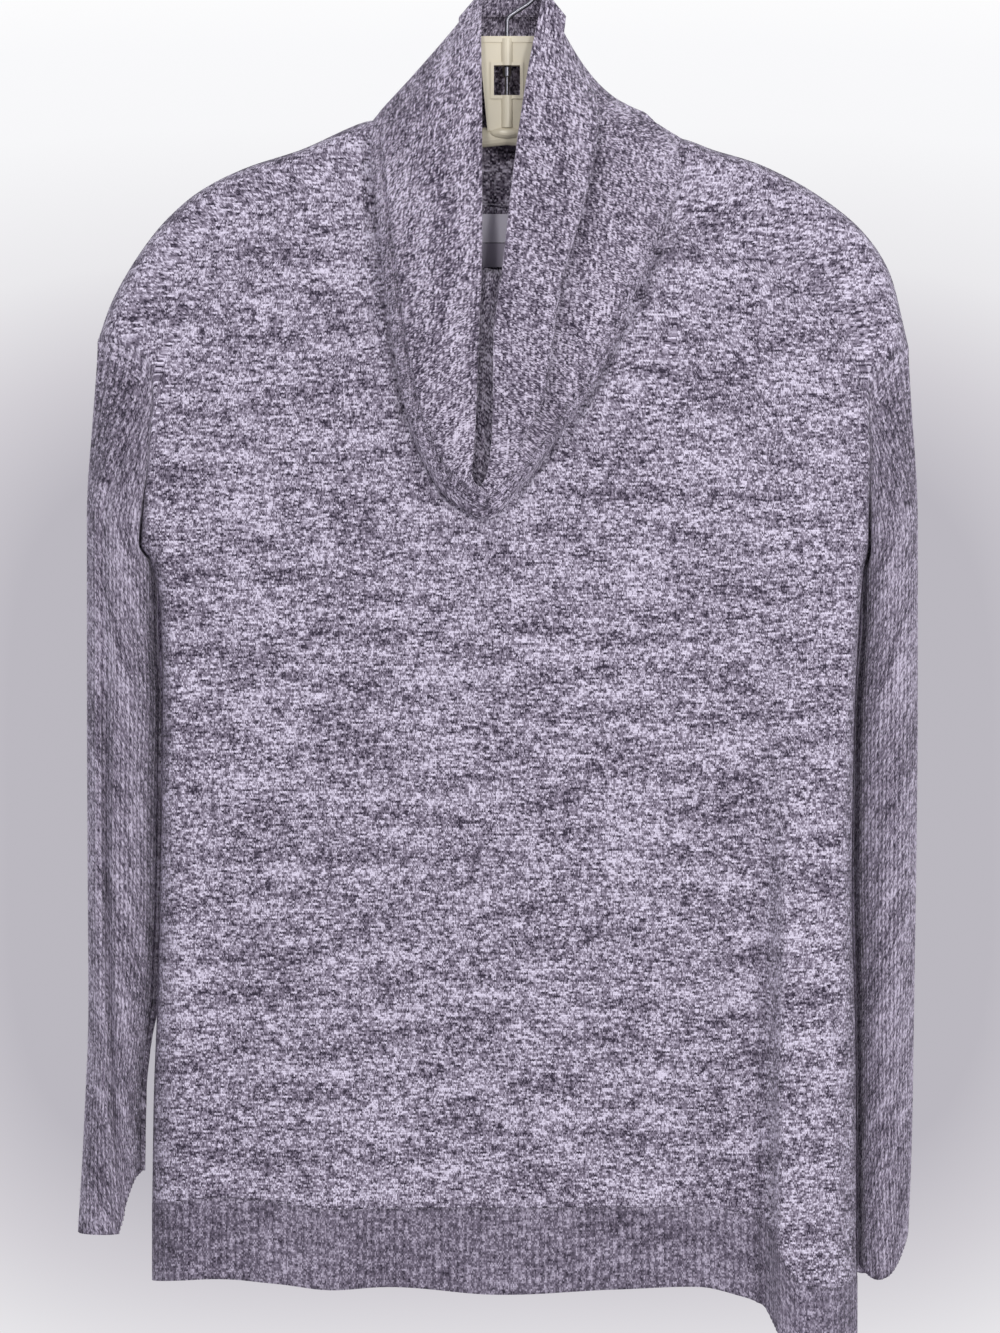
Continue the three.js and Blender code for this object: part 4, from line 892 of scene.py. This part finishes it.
def addSewing():
    along = np.linspace(*sewn["hemEnds"], sewn["points"])
    upArm = np.linspace(*sewn["armEnds"], sewn["points"])
    yarn = plainMaterial("seamYarn", (128, 119, 137), .9)
    for side, out in (("front", -1), ("back", 1)):
        rows = [panelSpots(side, along, np.full(len(along), sewn["hemV"])),
                panelSpots(side, np.full(len(upArm), sewn["armU"]), upArm),
                panelSpots(side, np.full(len(upArm), 1 - sewn["armU"]), upArm)]
        rows = [row + spots(0, 0, out * sewn["proud"]) for row in rows]
        piece = repeatOver(side + "Sewing", lineMesh(side + "Seams", rows), "sewing", {
            "Spacing": sewn["spacing"] * metre, "Thick": sewn["thick"] * metre, "Long": sewn["long"] * metre,
            "Material": yarn})


fuzzed = {"density": 42000, "thick": .05, "long": 2.2,
          "seeds": {"frontPanel": 11, "backPanel": 12, "leftSleeve": 13, "rightSleeve": 14, "cowlCollar": 15}}


def addFuzz():
    fibre = plainMaterial("fuzzFibre", (168, 159, 177), 1)
    for name, seed in fuzzed["seeds"].items():
        cloth = bpy.data.objects[name].data.copy()
        piece = repeatOver(name + "Fuzz", cloth, "fuzz", {
            "Density": fuzzed["density"], "Seed": seed, "Thick": fuzzed["thick"] * metre,
            "Long": fuzzed["long"] * metre, "Material": fibre})


addSewing()
addFuzz()
print("sewing and fuzz made")

# The room: pale floor, a backdrop that glows with painted light and a painted shadow, soft light
room = {"floorDrop": 1850, "wallAway": 12000, "half": 16}
# The backdrop's glow, painted light that greys towards the garment as a painted soft shadow, in pixels of the
# photo from its middle, as the camera sees it on the wall
glowShade = {"middleX": 500, "middleY": 800, "across": 600, "up": 455, "down": 490, "square": 4, "reach": 2,
        "tones": [(0, (184, 181, 189)), (.41, (187, 184, 192)), (.5, (210, 207, 213)), (.6, (234, 233, 236)),
                  (.74, (247, 247, 249)), (.83, (249, 249, 251)), (.93, (255, 255, 255))]}


def backdropMaterial():
    shader = Shader("paintedGlowBackdrop")
    wallFromCamera = room["wallAway"] + view["distance"] + view["clothFront"]
    pixel = view["pixel"] * metre * wallFromCamera / view["distance"]
    camera = bpy.context.scene.camera.location
    place = shader.node("ShaderNodeTexCoord")
    apart = shader.node("ShaderNodeSeparateXYZ", None, {"Vector": place.outputs["Object"]})
    x = Number(shader, apart.outputs["X"]) - (camera.x + (glowShade["middleX"] - view["across"] / 2) * pixel)
    z = Number(shader, apart.outputs["Z"]) - (camera.z - (glowShade["middleY"] - view["down"] / 2) * pixel)
    square = glowShade["square"]
    across = (x / (glowShade["across"] * pixel)) ** square
    up = (shader.maths("MAXIMUM", z, 0) / (glowShade["up"] * pixel)) ** square
    down = (shader.maths("MAXIMUM", 0 - z, 0) / (glowShade["down"] * pixel)) ** square
    far = (across + up + down) ** (1 / square)
    tones = [(stop, linear(colour)) for stop, colour in glowShade["tones"]]
    # The backdrop glows by emission as painted light, and its grey round the garment is a painted shadow.
    return shader.finish({
        "Base Color": (0, 0, 0, 1), "Roughness": 1, "Specular IOR Level": 0,
        "Emission Color": shader.ramp(far / glowShade["reach"], tones), "Emission Strength": 1})


def makeRoom():
    half, low = room["half"], -room["floorDrop"] * metre
    away = room["wallAway"] * metre
    sheets = {
        "floor": ([(-half, -half, low), (half, -half, low), (half, half, low), (-half, half, low)],
                  plainMaterial("floorPaint", (226, 224, 228), .9)),
        "backdrop": ([(-half, away, low), (half, away, low), (half, away, half), (-half, away, half)],
                     backdropMaterial()),
    }
    for name, (corners, material) in sheets.items():
        mesh = bpy.data.meshes.new(name)
        mesh.from_pydata(corners, [], [(0, 1, 2, 3)])
        mesh.materials.append(material)
        thing = bpy.data.objects.new(name, mesh)
        bpy.context.scene.collection.objects.link(thing)


lights = {
    "key": {"place": (-.5, -1.95, .85), "aim": (.02, 0, -.42), "size": .25, "power": 11},
    "front": {"place": (.5, -1.95, -.1), "aim": (.03, 0, -.45), "size": .25, "power": 8},
    "fill": {"place": (1.8, -1.9, 0), "aim": (.1, 0, -.5), "size": .8, "power": 14},
}


sky = {"colour": (.93, .93, 1, 1), "strength": .6}


def addLights():
    for name, lamp in lights.items():
        data = bpy.data.lights.new(name, "AREA")
        data.shape = "DISK"
        data.size = lamp["size"]
        data.energy = lamp["power"]
        thing = bpy.data.objects.new(name, data)
        thing.location = lamp["place"]
        ahead = Vector(lamp["aim"]) - Vector(lamp["place"])
        thing.rotation_euler = ahead.to_track_quat("-Z", "Y").to_euler()
        thing.visible_camera = False
        bpy.context.scene.collection.objects.link(thing)
    world = bpy.data.worlds.new("studio")
    world.use_nodes = True
    background = world.node_tree.nodes["Background"]
    background.inputs["Color"].default_value = sky["colour"]
    background.inputs["Strength"].default_value = sky["strength"]
    bpy.context.scene.world = world


makeHook()
makeRoom()
addLights()


hangerRound = .5  # the soft edge of moulded plastic


def dressNode(node, material):
    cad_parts[node].data.materials.clear()
    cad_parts[node].data.materials.append(material)


dressNode("hanger", plainMaterial("hangerPlastic", (222, 213, 190), .3))
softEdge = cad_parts["hanger"].modifiers.new("soft edges", "BEVEL")
softEdge.width = hangerRound * metre
softEdge.segments = 2
softEdge.limit_method = "ANGLE"
dressNode("neck_label", plainMaterial("neckLabelSatin", (240, 234, 248), .5, scale=700))
# The size label's satin is a darker copy of the neck label's: greyer partly by its own tone and partly by
# painted shade where it hangs below the neck label.
dressNode("size_label", plainMaterial("sizeLabelSatin", (196, 187, 206), .5, scale=700))
print("room and light set")
